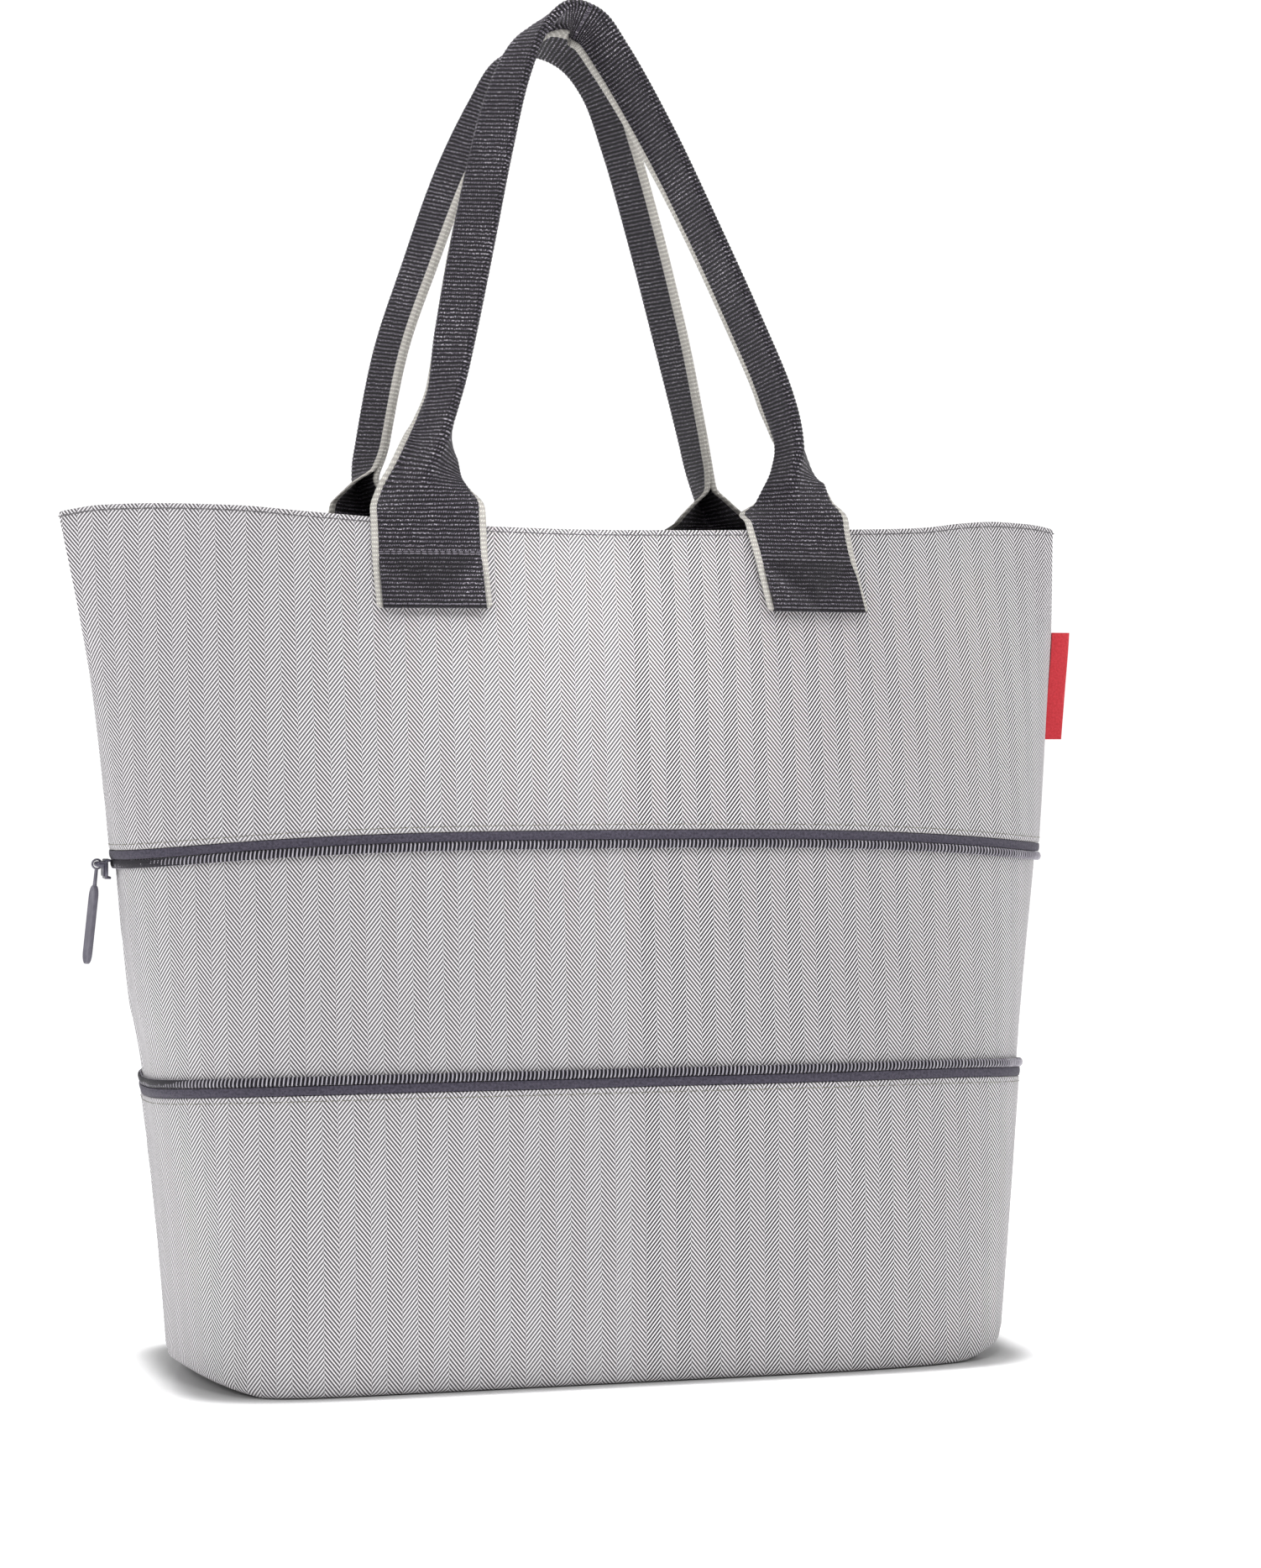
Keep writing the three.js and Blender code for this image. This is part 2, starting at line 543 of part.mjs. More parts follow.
// Where the middle of the strap runs and which way it faces, at evenly spaced stations. side is -1 for
// the front panel and 1 for the back one.
function handleStations(table, side) {
  const rows = table.map((row) => {
    const z = BAG_HEIGHT + row.rise * (row.rise < 0 ? PATCH_DROP : HANDLE_RISE);
    const x = (row.across * HANDLE_SPACING) / 2;
    const depth = panelDepth(x, Math.min(z, BAG_HEIGHT)) + STRAP_THICKNESS / 2 + PATCH_GAP;
    return { ...row, point: new THREE.Vector3(x, side * depth * row.lean, z) };
  });
  const path = new THREE.CatmullRomCurve3(rows.map((row) => row.point), false, "centripetal");
  const stations = [];
  const steps = (rows.length - 1) * STATIONS_PER_ROW;
  for (let k = 0; k <= steps; k += 1) {
    const t = k / steps;
    const place = t * (rows.length - 1);
    const i = Math.min(Math.floor(place), rows.length - 2);
    const mix = (name) => THREE.MathUtils.lerp(rows[i][name], rows[i + 1][name], place - i);
    const tangent = path.getTangent(t);
    const facing = radians(mix("facing"));
    const tilt = radians(mix("tilt"));
    const outward = new THREE.Vector3(
      Math.sin(facing) * Math.cos(tilt), side * Math.cos(facing) * Math.cos(tilt), Math.sin(tilt),
    );
    const square = THREE.MathUtils.clamp(1 - mix("rise") / LEVEL_RISE, 0, 1);
    const along = tangent.clone().lerp(new THREE.Vector3(0, 0, Math.sign(tangent.z)), square).normalize();
    outward.addScaledVector(along, -outward.dot(along)).normalize();
    stations.push({
      point: path.getPoint(t),
      outward,
      across: new THREE.Vector3().crossVectors(outward, along),
      fold: radians(mix("fold")),
      hem: radians(mix("hem")),
      side,
    });
  }
  return stations;
}

// The strap's half width without its cord, and the room that the bend at its middle takes.
const strapHalf = STRAP_WIDTH / 2 - CORD_DIAMETER - FIT_GAP;
const bendLength = FOLD_ROOM / 2 / Math.cos(radians(40));

// Points across one half of the strap in its own plane, from its middle to the cord's centre. The inner
// half lies towards the inside of the handle's arch. Its hem turns away from the outer half, whose hem
// turns round it from behind, so the strap's middle then lies off its fold.
function halfSection(station, half) {
  const { fold, hem, side } = station;
  const inner = half === "inner";
  const sign = inner ? side : -side;
  const hemShift = (CORD_DIAMETER + FIT_GAP) * Math.sin(hem) * (inner ? -0.6 : 0.6);
  const angles = [fold * 0.45, fold, fold + (inner ? -hem : hem)];
  const lengths = [bendLength, strapHalf - HEM_WIDTH - bendLength + hemShift, HEM_WIDTH];
  angles.push(angles[2]);
  lengths.push(FIT_GAP + CORD_DIAMETER / 2);
  const points = [new THREE.Vector2(0, 0)];
  lengths.forEach((length, k) => {
    const step = new THREE.Vector2(sign * Math.cos(angles[k]), -Math.sin(angles[k]));
    points.push(points[k].clone().addScaledVector(step, length));
  });
  return points;
}

// A closed outline round the strap: along its outer face and back along its inner face.
function strapOutline(station) {
  const inner = halfSection(station, "inner").slice(0, -1);
  const outer = halfSection(station, "outer").slice(0, -1);
  const middle = [...inner.reverse(), ...outer.slice(1)];
  const offset = (distance) => middle.map((point, k) => {
    const before = point.clone().sub(middle[Math.max(k - 1, 0)]);
    const after = middle[Math.min(k + 1, middle.length - 1)].clone().sub(point);
    if (before.length() === 0) before.copy(after);
    if (after.length() === 0) after.copy(before);
    before.normalize();
    after.normalize();
    const firstNormal = new THREE.Vector2(-before.y, before.x);
    const secondNormal = new THREE.Vector2(-after.y, after.x);
    const mitre = firstNormal.clone().add(secondNormal).divideScalar(1 + firstNormal.dot(secondNormal));
    return point.clone().addScaledVector(mitre, distance);
  });
  return [...offset(STRAP_THICKNESS / 2), ...offset(-STRAP_THICKNESS / 2).reverse()];
}

function place(station, point) {
  return station.point.clone()
    .addScaledVector(station.across, point.x)
    .addScaledVector(station.outward, point.y);
}

function middleOf(row) {
  return row.reduce((sum, p) => sum.add(p), new THREE.Vector3()).divideScalar(row.length);
}

// A solid through outlines of points, closed at both ends by triangles across each outline.
function cappedTube(rows, order) {
  const count = rows[0].length;
  const corners = [];
  for (let i = 0; i < rows.length - 1; i += 1) {
    for (let k = 0; k < count; k += 1) {
      const j = (k + 1) % count;
      corners.push(rows[i][k], rows[i][j], rows[i + 1][j], rows[i][k], rows[i + 1][j], rows[i + 1][k]);
    }
  }
  const last = rows[rows.length - 1];
  order.forEach(([a, b, c]) => corners.push(rows[0][a], rows[0][c], rows[0][b], last[a], last[b], last[c]));
  return geometryOf(corners);
}

function strap(stations) {
  const rows = stations.map((station) => strapOutline(station).map((point) => place(station, point)));
  const count = rows[0].length;
  const order = [];
  for (let k = 0; k < count / 2 - 1; k += 1) {
    order.push([k, k + 1, count - 2 - k], [k, count - 2 - k, count - 1 - k]);
  }
  return facingOut(cappedTube(rows, order));
}

// The cord along the edge of one half of the strap.
function edgeCord(stations, half) {
  const rows = stations.map((station) => {
    const centre = halfSection(station, half).pop();
    const row = [];
    for (let k = 0; k < CORD_SIDES; k += 1) {
      const angle = (k / CORD_SIDES) * Math.PI * 2;
      const corner = new THREE.Vector2(Math.cos(angle), Math.sin(angle)).multiplyScalar(CORD_DIAMETER / 2);
      row.push(place(station, corner.add(centre)));
    }
    return row;
  });
  return facingOut(cappedBand(rows, middleOf(rows[0]), middleOf(rows[rows.length - 1])));
}

// Turns a closed geometry's faces out if its volume is negative.
function facingOut(geometry) {
  const position = geometry.attributes.position;
  const [a, b, c] = [new THREE.Vector3(), new THREE.Vector3(), new THREE.Vector3()];
  let volume = 0;
  for (let k = 0; k < position.count; k += 3) {
    a.fromBufferAttribute(position, k);
    b.fromBufferAttribute(position, k + 1);
    c.fromBufferAttribute(position, k + 2);
    volume += a.dot(b.cross(c));
  }
  if (volume >= 0) return geometry;
  const turned = [];
  for (let k = 0; k < position.count; k += 3) {
    [k, k + 2, k + 1].forEach((corner) => turned.push(new THREE.Vector3().fromBufferAttribute(position, corner)));
  }
  return geometryOf(turned);
}

const bag = new THREE.Group();

function addPiece(name, geometry, finish) {
  const mesh = new THREE.Mesh(geometry, new THREE.MeshStandardMaterial(FINISHES[finish]));
  mesh.name = name;
  bag.add(mesh);
  return mesh;
}

addPiece("lower_tier", facingOut(lowerTier()), "cloth");
addPiece("middle_tier", facingOut(middleTier()), "cloth");
addPiece("upper_tier", facingOut(upperTier()), "cloth");
addPiece("upper_zip_tape", facingOut(zipTape((share) => upperTapeTop(share) - TAPE_HEIGHT)), "tape");
addPiece("upper_zip_coil", facingOut(zipCoil((share) => upperCoilTop(share) - COIL_HEIGHT)), "coil");
addPiece("lower_zip_tape", facingOut(zipTape(lowerTapeBottom)), "tape");
addPiece("lower_zip_coil", facingOut(zipCoil(lowerCoilBottom)), "coil");
addPiece("zip_slider", slider(), "slider");
addPiece("zip_pull", zipPull(), "pull").position.set(hingeX, 0, sliderHeight);
addPiece("side_label", sideLabel(), "label");

for (const [name, table, side] of [["front", FRONT_HANDLE, -1], ["back", BACK_HANDLE, 1]]) {
  const stations = handleStations(table, side);
  addPiece(`${name}_handle`, strap(stations), "webbing");
  addPiece(`${name}_handle_inner_cord`, edgeCord(stations, "inner"), "cord");
  addPiece(`${name}_handle_outer_cord`, edgeCord(stations, "outer"), "cord");
}

export default bag;
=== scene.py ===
"""Expandable shopper bag: three cloth tiers, an opened zip, folded webbing handles and a bare side label."""
from __future__ import annotations

import json
import logging
import math
from collections.abc import Callable, Sequence
from dataclasses import dataclass
from enum import Enum

import bmesh
import bpy
import numpy as np
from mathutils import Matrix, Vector

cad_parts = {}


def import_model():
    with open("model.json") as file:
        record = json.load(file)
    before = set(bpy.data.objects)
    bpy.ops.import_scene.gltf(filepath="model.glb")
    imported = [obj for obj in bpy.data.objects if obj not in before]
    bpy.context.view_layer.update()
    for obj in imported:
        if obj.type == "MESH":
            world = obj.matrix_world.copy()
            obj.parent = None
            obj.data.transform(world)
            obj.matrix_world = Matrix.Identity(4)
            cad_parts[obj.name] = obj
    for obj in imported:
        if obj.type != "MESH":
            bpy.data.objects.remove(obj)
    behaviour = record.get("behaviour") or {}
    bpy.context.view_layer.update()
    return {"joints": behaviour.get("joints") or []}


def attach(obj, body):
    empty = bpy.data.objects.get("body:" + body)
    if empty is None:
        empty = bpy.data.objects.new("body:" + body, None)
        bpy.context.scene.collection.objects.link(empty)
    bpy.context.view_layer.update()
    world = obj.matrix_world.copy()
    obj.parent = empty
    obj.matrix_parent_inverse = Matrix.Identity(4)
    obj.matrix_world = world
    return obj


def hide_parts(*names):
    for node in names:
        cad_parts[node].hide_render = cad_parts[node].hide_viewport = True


LOG = logging.getLogger("shopper_bag")
MM = 0.001
HeightRule = Callable[[np.ndarray], np.ndarray]
Colour = tuple[float, float, float]
Point = tuple[float, float, float]


class Panel(Enum):
    """The two broad panels, by the sign of their Y."""

    FRONT = -1
    BACK = 1


class Half(Enum):
    """The two halves of a webbing strap: towards the middle of the bag, or away from it."""

    INNER = 1
    OUTER = -1


class Chain(Enum):
    """The opened zip's two half chains."""

    UPPER = "upper"
    LOWER = "lower"


def smooth_step(value: np.ndarray, start: float, end: float) -> np.ndarray:
    """Gives 0 before start and 1 after end, with an even rise between them."""
    t = np.clip((value - start) / (end - start), 0.0, 1.0)
    return t * t * (3.0 - 2.0 * t)


def unit(vectors: np.ndarray) -> np.ndarray:
    """Scales each vector in the last axis to length one."""
    return vectors / np.linalg.norm(vectors, axis=-1, keepdims=True)


def lengths_along(points: np.ndarray) -> np.ndarray:
    """Gives the length of a path from its first point to each of its points."""
    return np.concatenate([[0.0], np.cumsum(np.linalg.norm(np.diff(points, axis=0), axis=1))])


def joined(*numbers: np.ndarray | float) -> np.ndarray:
    """Joins arrays of single numbers, stretched to one shape, into an array of points."""
    return np.stack(np.broadcast_arrays(*numbers), -1)


def smooth_between(keys: np.ndarray, values: np.ndarray, at: np.ndarray) -> np.ndarray:
    """Reads a table between its rows with cubics that never overshoot.

    Args:
        keys: The rising keys of the rows.
        values: The rows' values.
        at: The places to read.

    Returns:
        The values there.
    """
    slopes = np.diff(values) / np.diff(keys)
    product = slopes[:-1] * slopes[1:]
    total = slopes[:-1] + slopes[1:]
    inner = np.where(product > 0, 2.0 * product / np.where(product > 0, total, 1.0), 0.0)
    tangents = np.concatenate([slopes[:1], inner, slopes[-1:]])
    row = np.clip(np.searchsorted(keys, at, side="left") - 1, 0, len(keys) - 2)
    span = keys[row + 1] - keys[row]
    t = np.clip((at - keys[row]) / span, 0.0, 1.0)
    rise = t * t * (3.0 - 2.0 * t)
    start = (t**3 - 2.0 * t**2 + t) * tangents[row] * span
    end = (t**3 - t**2) * tangents[row + 1] * span
    return values[row] * (1.0 - rise) + values[row + 1] * rise + start + end


@dataclass(frozen=True)
class Table:
    """A short table with named columns, read smoothly by its first column or by its row number."""

    columns: tuple[str, ...]
    rows: tuple[tuple[float, ...], ...]

    def column(self, name: str) -> np.ndarray:
        """Gives one column as an array."""
        return np.array([row[self.columns.index(name)] for row in self.rows])

    def read(self, name: str, at: np.ndarray) -> np.ndarray:
        """Reads a column at places along the first column."""
        return smooth_between(self.column(self.columns[0]), self.column(name), np.asarray(at, float))

    def read_rows(self, name: str, at: np.ndarray) -> np.ndarray:
        """Reads a column at row numbers that need not be whole."""
        return smooth_between(np.arange(len(self.rows), dtype=float), self.column(name), at)


class Sketch:
    """Collects grids of points and turns them into one closed, smooth mesh object."""

    def __init__(self) -> None:
        """Starts with no faces."""
        self.points: list[np.ndarray] = []
        self.faces: list[np.ndarray] = []
        self.corner_uvs: list[np.ndarray] = []
        self.slots: list[np.ndarray] = []
        self.count = 0

    def grid(self, points: np.ndarray, uv: np.ndarray | None = None, slot: int = 0) -> None:
        """Adds a grid of quads.

        Args:
            points: Rows by columns by 3.
            uv: Rows by columns by 2, in metres, or None for zeros.
            slot: The material slot of its faces.
        """
        rows, columns = points.shape[:2]
        number = np.arange(rows * columns).reshape(rows, columns)
        quads = joined(number[:-1, :-1], number[:-1, 1:], number[1:, 1:], number[1:, :-1]).reshape(-1, 4)
        flat = np.zeros((rows * columns, 2)) if uv is None else uv.reshape(-1, 2)
        self.points.append(points.reshape(-1, 3))
        self.faces.append(quads + self.count)
        self.corner_uvs.append(flat[quads].reshape(-1, 2))
        self.slots.append(np.full(len(quads), slot))
        self.count += rows * columns

    def piece(
        self, name: str, materials: Sequence[bpy.types.Material], sharp: float = 50.0,
    ) -> bpy.types.Object:
        """Makes the object, with coincident points merged and its normals turned outwards.

        Args:
            name: The piece's name.
            materials: Its materials, in slot order.
            sharp: The angle in degrees past which an edge stays sharp.

        Returns:
            The linked object.
        """
        mesh = bpy.data.meshes.new(name)
        mesh.from_pydata(np.concatenate(self.points).tolist(), [], np.concatenate(self.faces).tolist())
        layer = mesh.uv_layers.new(name="weave")
        layer.data.foreach_set("uv", np.concatenate(self.corner_uvs).astype(np.float32).ravel())
        mesh.polygons.foreach_set("material_index", np.concatenate(self.slots).astype(np.int32))
        for material in materials:
            mesh.materials.append(material)
        close_mesh(mesh)
        mesh.shade_smooth()
        mesh.set_sharp_from_angle(angle=math.radians(sharp))
        return linked(name, mesh)


def close_mesh(mesh: bpy.types.Mesh) -> None:
    """Merges coincident points, drops flat leftovers and turns the faces outwards."""
    work = bmesh.new()
    work.from_mesh(mesh)
    bmesh.ops.remove_doubles(work, verts=work.verts, dist=2e-6)
    bmesh.ops.dissolve_degenerate(work, edges=work.edges, dist=1e-7)
    bmesh.ops.recalc_face_normals(work, faces=work.faces)
    work.to_mesh(mesh)
    work.free()


def linked(name: str, mesh: bpy.types.Mesh) -> bpy.types.Object:
    """Puts a mesh into the scene as an object at the origin."""
    piece = bpy.data.objects.new(name, mesh)
    bpy.context.scene.collection.objects.link(piece)
    return piece


def thread_path(name: str, runs: Sequence[np.ndarray], closed: bool = False) -> bpy.types.Object:
    """Makes an object of plain edges for a row of repeats to follow.

    Args:
        name: The piece's name.
        runs: The points of each run.
        closed: Whether each run joins its own start.

    Returns:
        The linked object.
    """
    edges: list[tuple[int, int]] = []
    start = 0
    for run in runs:
        count = len(run)
        edges += [(start + k, start + (k + 1) % count) for k in range(count if closed else count - 1)]
        start += count
    mesh = bpy.data.meshes.new(name)
    mesh.from_pydata(np.concatenate(runs).tolist(), edges, [])
    return linked(name, mesh)


class Signal:
    """A number or colour inside a node tree, which takes part in plain sums."""

    def __init__(self, graph: Graph, socket: bpy.types.NodeSocket) -> None:
        """Wraps a socket of the graph."""
        self.graph, self.socket = graph, socket

    def __add__(self, other: object) -> Signal:
        """Adds another number."""
        return self.graph.math("ADD", self, other)

    def __sub__(self, other: object) -> Signal:
        """Takes another number away."""
        return self.graph.math("SUBTRACT", self, other)

    def __rsub__(self, other: object) -> Signal:
        """Takes this number away from another."""
        return self.graph.math("SUBTRACT", other, self)

    def __mul__(self, other: object) -> Signal:
        """Multiplies by another number."""
        return self.graph.math("MULTIPLY", self, other)

    def wave(self, pitch: float) -> Signal:
        """Gives a cosine, from -1 to 1, once in each pitch."""
        return self.graph.math("COSINE", self * (2.0 * math.pi / pitch))

    def mask(self, low: float, high: float) -> Signal:
        """Gives 0 below low and 1 above high, rising smoothly between them."""
        feeds = dict(enumerate((self, low, high, 0.0, 1.0)))
        node = self.graph.node("ShaderNodeMapRange", feeds, interpolation_type="SMOOTHSTEP")
        return Signal(self.graph, node.outputs[0])


class Graph:
    """A node tree, with short calls that add nodes and feed them."""

    def __init__(self, tree: bpy.types.NodeTree) -> None:
        """Takes the tree to fill."""
        self.tree = tree

    def feed(self, socket: bpy.types.NodeSocket, value: object) -> None:
        """Links a socket to another one or to a signal, or sets its value."""
        source = value.socket if isinstance(value, Signal) else value
        if isinstance(source, bpy.types.NodeSocket):
            self.tree.links.new(source, socket)
        else:
            socket.default_value = source

    def node(
        self, kind: str, feeds: dict[str | int, object] | None = None, **settings: object,
    ) -> bpy.types.Node:
        """Adds a node, sets its properties, then feeds its inputs by name or number."""
        node = self.tree.nodes.new(kind)
        for key, value in settings.items():
            setattr(node, key, value)
        for key, value in (feeds or {}).items():
            self.feed(node.inputs[key], value)
        return node

    def math(self, operation: str, *values: object) -> Signal:
        """Adds a Math node and gives its output."""
        node = self.node("ShaderNodeMath", dict(enumerate(values)), operation=operation)
        return Signal(self, node.outputs[0])


class ShaderGraph(Graph):
    """A material's node tree, with the nodes that the finishes share."""

    def __init__(self, name: str) -> None:
        """Makes the material with an empty Principled shader."""
        self.material = bpy.data.materials.new(name)
        self.material.use_nodes = True
        super().__init__(self.material.node_tree)
        self.shader = self.tree.nodes["Principled BSDF"]

    def mix(self, share: object, first: object, second: object) -> Signal:
        """Mixes two colours by a share."""
        feeds = {0: share, 6: opaque(first), 7: opaque(second)}
        return Signal(self, self.node("ShaderNodeMix", feeds, data_type="RGBA").outputs[2])

    def split(self, vector: object) -> tuple[Signal, Signal]:
        """Gives a vector's first two numbers."""
        outputs = self.node("ShaderNodeSeparateXYZ", {0: vector}).outputs
        return Signal(self, outputs[0]), Signal(self, outputs[1])

    def weave(self) -> tuple[Signal, Signal, Signal]:
        """Gives the weave's own coordinates in metres: the vector, across and along."""
        source = Signal(self, self.node("ShaderNodeUVMap", uv_map="weave").outputs[0])
        return source, *self.split(source)

    def place(self) -> Signal:
        """Gives the Object coordinates."""
        return Signal(self, self.node("ShaderNodeTexCoord").outputs["Object"])

    def noise(self, vector: Signal, scale: float, detail: float = 2.0) -> Signal:
        """Gives noise from about 0.3 to 0.7 at a scale in cells per metre."""
        feeds = {"Vector": vector, "Scale": scale, "Detail": detail}
        return Signal(self, self.node("ShaderNodeTexNoise", feeds).outputs[0])

    def bump(self, height: Signal, depth: float) -> None:
        """Bumps the shader's normal by a height from 0 to 1 times a depth in metres."""
        node = self.node("ShaderNodeBump", {"Strength": 1.0, "Distance": depth, "Height": height})
        self.feed(self.shader.inputs["Normal"], node.outputs[0])

    def finish(self, base: object, **sockets: object) -> bpy.types.Material:
        """Feeds the shader's colour and its sockets, named with underscores, and gives the material."""
        self.feed(self.shader.inputs["Base Color"], opaque(base))
        for key, value in sockets.items():
            self.feed(self.shader.inputs[key.replace("_", " ")], value)
        return self.material


def opaque(value: object) -> object:
    """Adds full opacity to a colour of three numbers, and passes anything else through."""
    return (*value, 1.0) if isinstance(value, tuple) and len(value) == 3 else value


def scaled(colour: Colour, factor: float) -> Colour:
    """Makes a colour lighter or darker, up to white."""
    return tuple(min(value * factor, 1.0) for value in colour)


@dataclass(frozen=True)
class HerringboneCloth:
    """Two-tone herringbone cloth with upright zigzag columns, true to the cloth's own length."""

    name: str = "herringbone_cloth"
    pale: Colour = (0.86, 0.836, 0.862)
    dark: Colour = (0.028, 0.024, 0.027)
    column: float = 13.8 * MM
    pitch: float = 2.15 * MM
    slope: float = 1.25
    yarn: float = 0.62 * MM
    wander: float = 0.4 * MM
    stripe: tuple[float, float] = (-0.45, 0.13)
    relief: float = 0.1 * MM

    def material(self) -> bpy.types.Material:
        """Builds the material."""
        graph = ShaderGraph(self.name)
        vector, across, along = graph.weave()
        across = across + (graph.noise(vector, 30.0) - 0.5) * self.wander
        arm = graph.math("PINGPONG", across, self.column / 2)
        side = graph.math("MODULO", graph.math("FLOOR", across * (2.0 / self.column)), 2.0)
        line = along + arm * self.slope + side * (self.pitch / 2)
        stripe = line.wave(self.pitch).mask(*self.stripe)
        bead = (across.wave(self.yarn) + along.wave(self.yarn)).mask(-1.6, 0.6)
        # The dark lines on every other arm are 5% fainter: painted sheen, one arm direction painted lighter
        # as if it caught the light.
        cover = stripe * (bead * 0.06 + 0.94) * (side * 0.05 + 0.95)
        fuzz = graph.noise(vector, 1500.0, 1.0).mask(0.35, 0.65)
        dark = graph.mix(fuzz, self.dark, scaled(self.dark, 1.9))
        tone = graph.noise(vector, 9.0, 3.0).mask(0.25, 0.75)
        pale = graph.mix(tone, scaled(self.pale, 0.955), self.pale)
        graph.bump(bead * 0.2 - cover, self.relief)
        return graph.finish(
            graph.mix(cover, pale, dark), Roughness=0.62, Sheen_Weight=0.12, Sheen_Roughness=0.5,
            Specular_IOR_Level=0.35,
        )


@dataclass(frozen=True)
class RibbedWebbing:
    """Ribbed webbing or woven edging: ribs across the strap, each rib a row of yarn loops, with painted shade
    in the valleys between the ribs and pale glints as painted highlights.

    A painted shadow darkens the sewn end of the strap between its upper seam and its V-shaped fold, where the
    folded strap above would cast its shadow; the strap is also darker towards its very end at the foot.
    """

    name: str
    # Dark colour painted in the valleys between the ribs as painted shade.
    valley: Colour
    rib: Colour
    # Colour of the pale glints, painted highlights on the rib crests.
    glint: Colour
    pitch: float
    # Strength of the painted highlights.
    glints: float = 0.3
    gloss: float = 0.3
    # Strength of the painted shadow on the strap ends, and of the darkening at their foot.
    painted_shadow: float = 0.0
    relief: float = 0.14 * MM
    wander: float = 0.9 * MM
    loop: float = 1.05 * MM
    crest: tuple[float, float] = (-0.25, 0.8)
    # Where the painted shadow's V-shaped lower edge lies and how soft it is, where it stops at the seam, and
    # where the foot's darkening ends.
    shadow_slope: float = 0.87
    shadow_wander: float = 9 * MM
    shadow_edge: tuple[float, float] = (1.0 * MM, 8.0 * MM)
    seam_edge: tuple[float, float] = (24.5 * MM, 26.0 * MM)
    foot_edge: tuple[float, float] = (0.9 * MM, 1.7 * MM)

    def material(self) -> bpy.types.Material:
        """Builds the material."""
        graph = ShaderGraph(self.name)
        vector, across, along = graph.weave()
        line = along + (graph.noise(vector, 200.0) - 0.5) * self.wander
        crest = line.wave(self.pitch).mask(*self.crest)
        loops = (across + along * 0.45).wave(self.loop).mask(-0.9, 0.5)
        patches = graph.noise(vector, 22.0).mask(0.42, 0.66)
        # Painted highlights: pale glints painted on the rib crests, stronger in noisy patches.
        spark = graph.noise(vector, 1300.0).mask(0.52, 0.68) * crest * (patches * 0.6 + 0.4)
        # Painted shade: the valleys between the ribs take the dark valley colour, the crests the rib colour.
        body = graph.mix(crest * loops, self.valley, self.rib)
        body = graph.mix(spark * self.glints, body, self.glint)
        # Painted shadow: a V-shaped line across each strap end is the lower edge of a painted shadow that
        # reaches up to the upper seam; the strap is also darker towards its very end at the foot.
        fold = along + (graph.noise(vector, 60.0) - 0.5) * self.shadow_wander
        fold = fold - graph.math("ABSOLUTE", across) * self.shadow_slope
        shadow_patch = fold.mask(*self.shadow_edge) * (1.0 - along.mask(*self.seam_edge))
        shade = graph.math("MAXIMUM", shadow_patch, 1.0 - along.mask(*self.foot_edge))
        graph.bump(crest + loops * 0.4, self.relief)
        # The painted shadow pulls the colour towards the dark valley colour.
        return graph.finish(
            graph.mix(shade * self.painted_shadow, body, self.valley), Roughness=0.6, Sheen_Weight=0.12,
            Sheen_Roughness=0.45, Specular_IOR_Level=self.gloss,
        )


@dataclass(frozen=True)
class TwillTape:
    """Fine diagonal twill, as on zip tape and ribbon."""

    name: str
    base: Colour
    lighter: Colour
    pitch: float = 0.7 * MM
    relief: float = 0.08 * MM

    def material(self) -> bpy.types.Material:
        """Builds the material."""
        graph = ShaderGraph(self.name)
        vector, across, along = graph.weave()
        twill = (across + along).wave(self.pitch).mask(-0.8, 0.8)
        weft = across.wave(self.pitch * 0.6).mask(-0.8, 0.8)
        share = (twill + weft) * graph.noise(vector, 900.0).mask(0.2, 0.9)
        graph.bump(twill + weft, self.relief)
        return graph.finish(
            graph.mix(share, self.base, self.lighter), Roughness=0.66, Sheen_Weight=0.15,
            Sheen_Roughness=0.4, Specular_IOR_Level=0.3,
        )


@dataclass(frozen=True)
class MouldedFinish:
    """Moulded plastic or enamelled metal, with a fine grain and soft wear."""

    name: str
    base: Colour
    worn: Colour
    roughness: float = 0.42
    metallic: float = 0.0
    grain: float = 700.0
    relief: float = 0.03 * MM

    def material(self) -> bpy.types.Material:
        """Builds the material."""
        graph = ShaderGraph(self.name)
        place = graph.place()
        wear = graph.noise(place, self.grain * 0.3, 4.0).mask(0.42, 0.7)
        grain = graph.noise(place, self.grain)
        graph.bump(grain, self.relief)
        return graph.finish(
            graph.mix(wear, self.base, self.worn), Roughness=grain * 0.16 + (self.roughness - 0.08),
            Metallic=self.metallic, Specular_IOR_Level=0.5,
        )


@dataclass(frozen=True)
class Thread:
    """Twisted sewing thread."""

    name: str
    base: Colour
    lighter: Colour
    relief: float = 0.05 * MM

    def material(self) -> bpy.types.Material:
        """Builds the material."""
        graph = ShaderGraph(self.name)
        grain = graph.noise(graph.place(), 1600.0).mask(0.35, 0.65)
        graph.bump(grain, self.relief)
        return graph.finish(graph.mix(grain, self.base, self.lighter), Roughness=0.55, Sheen_Weight=0.2)


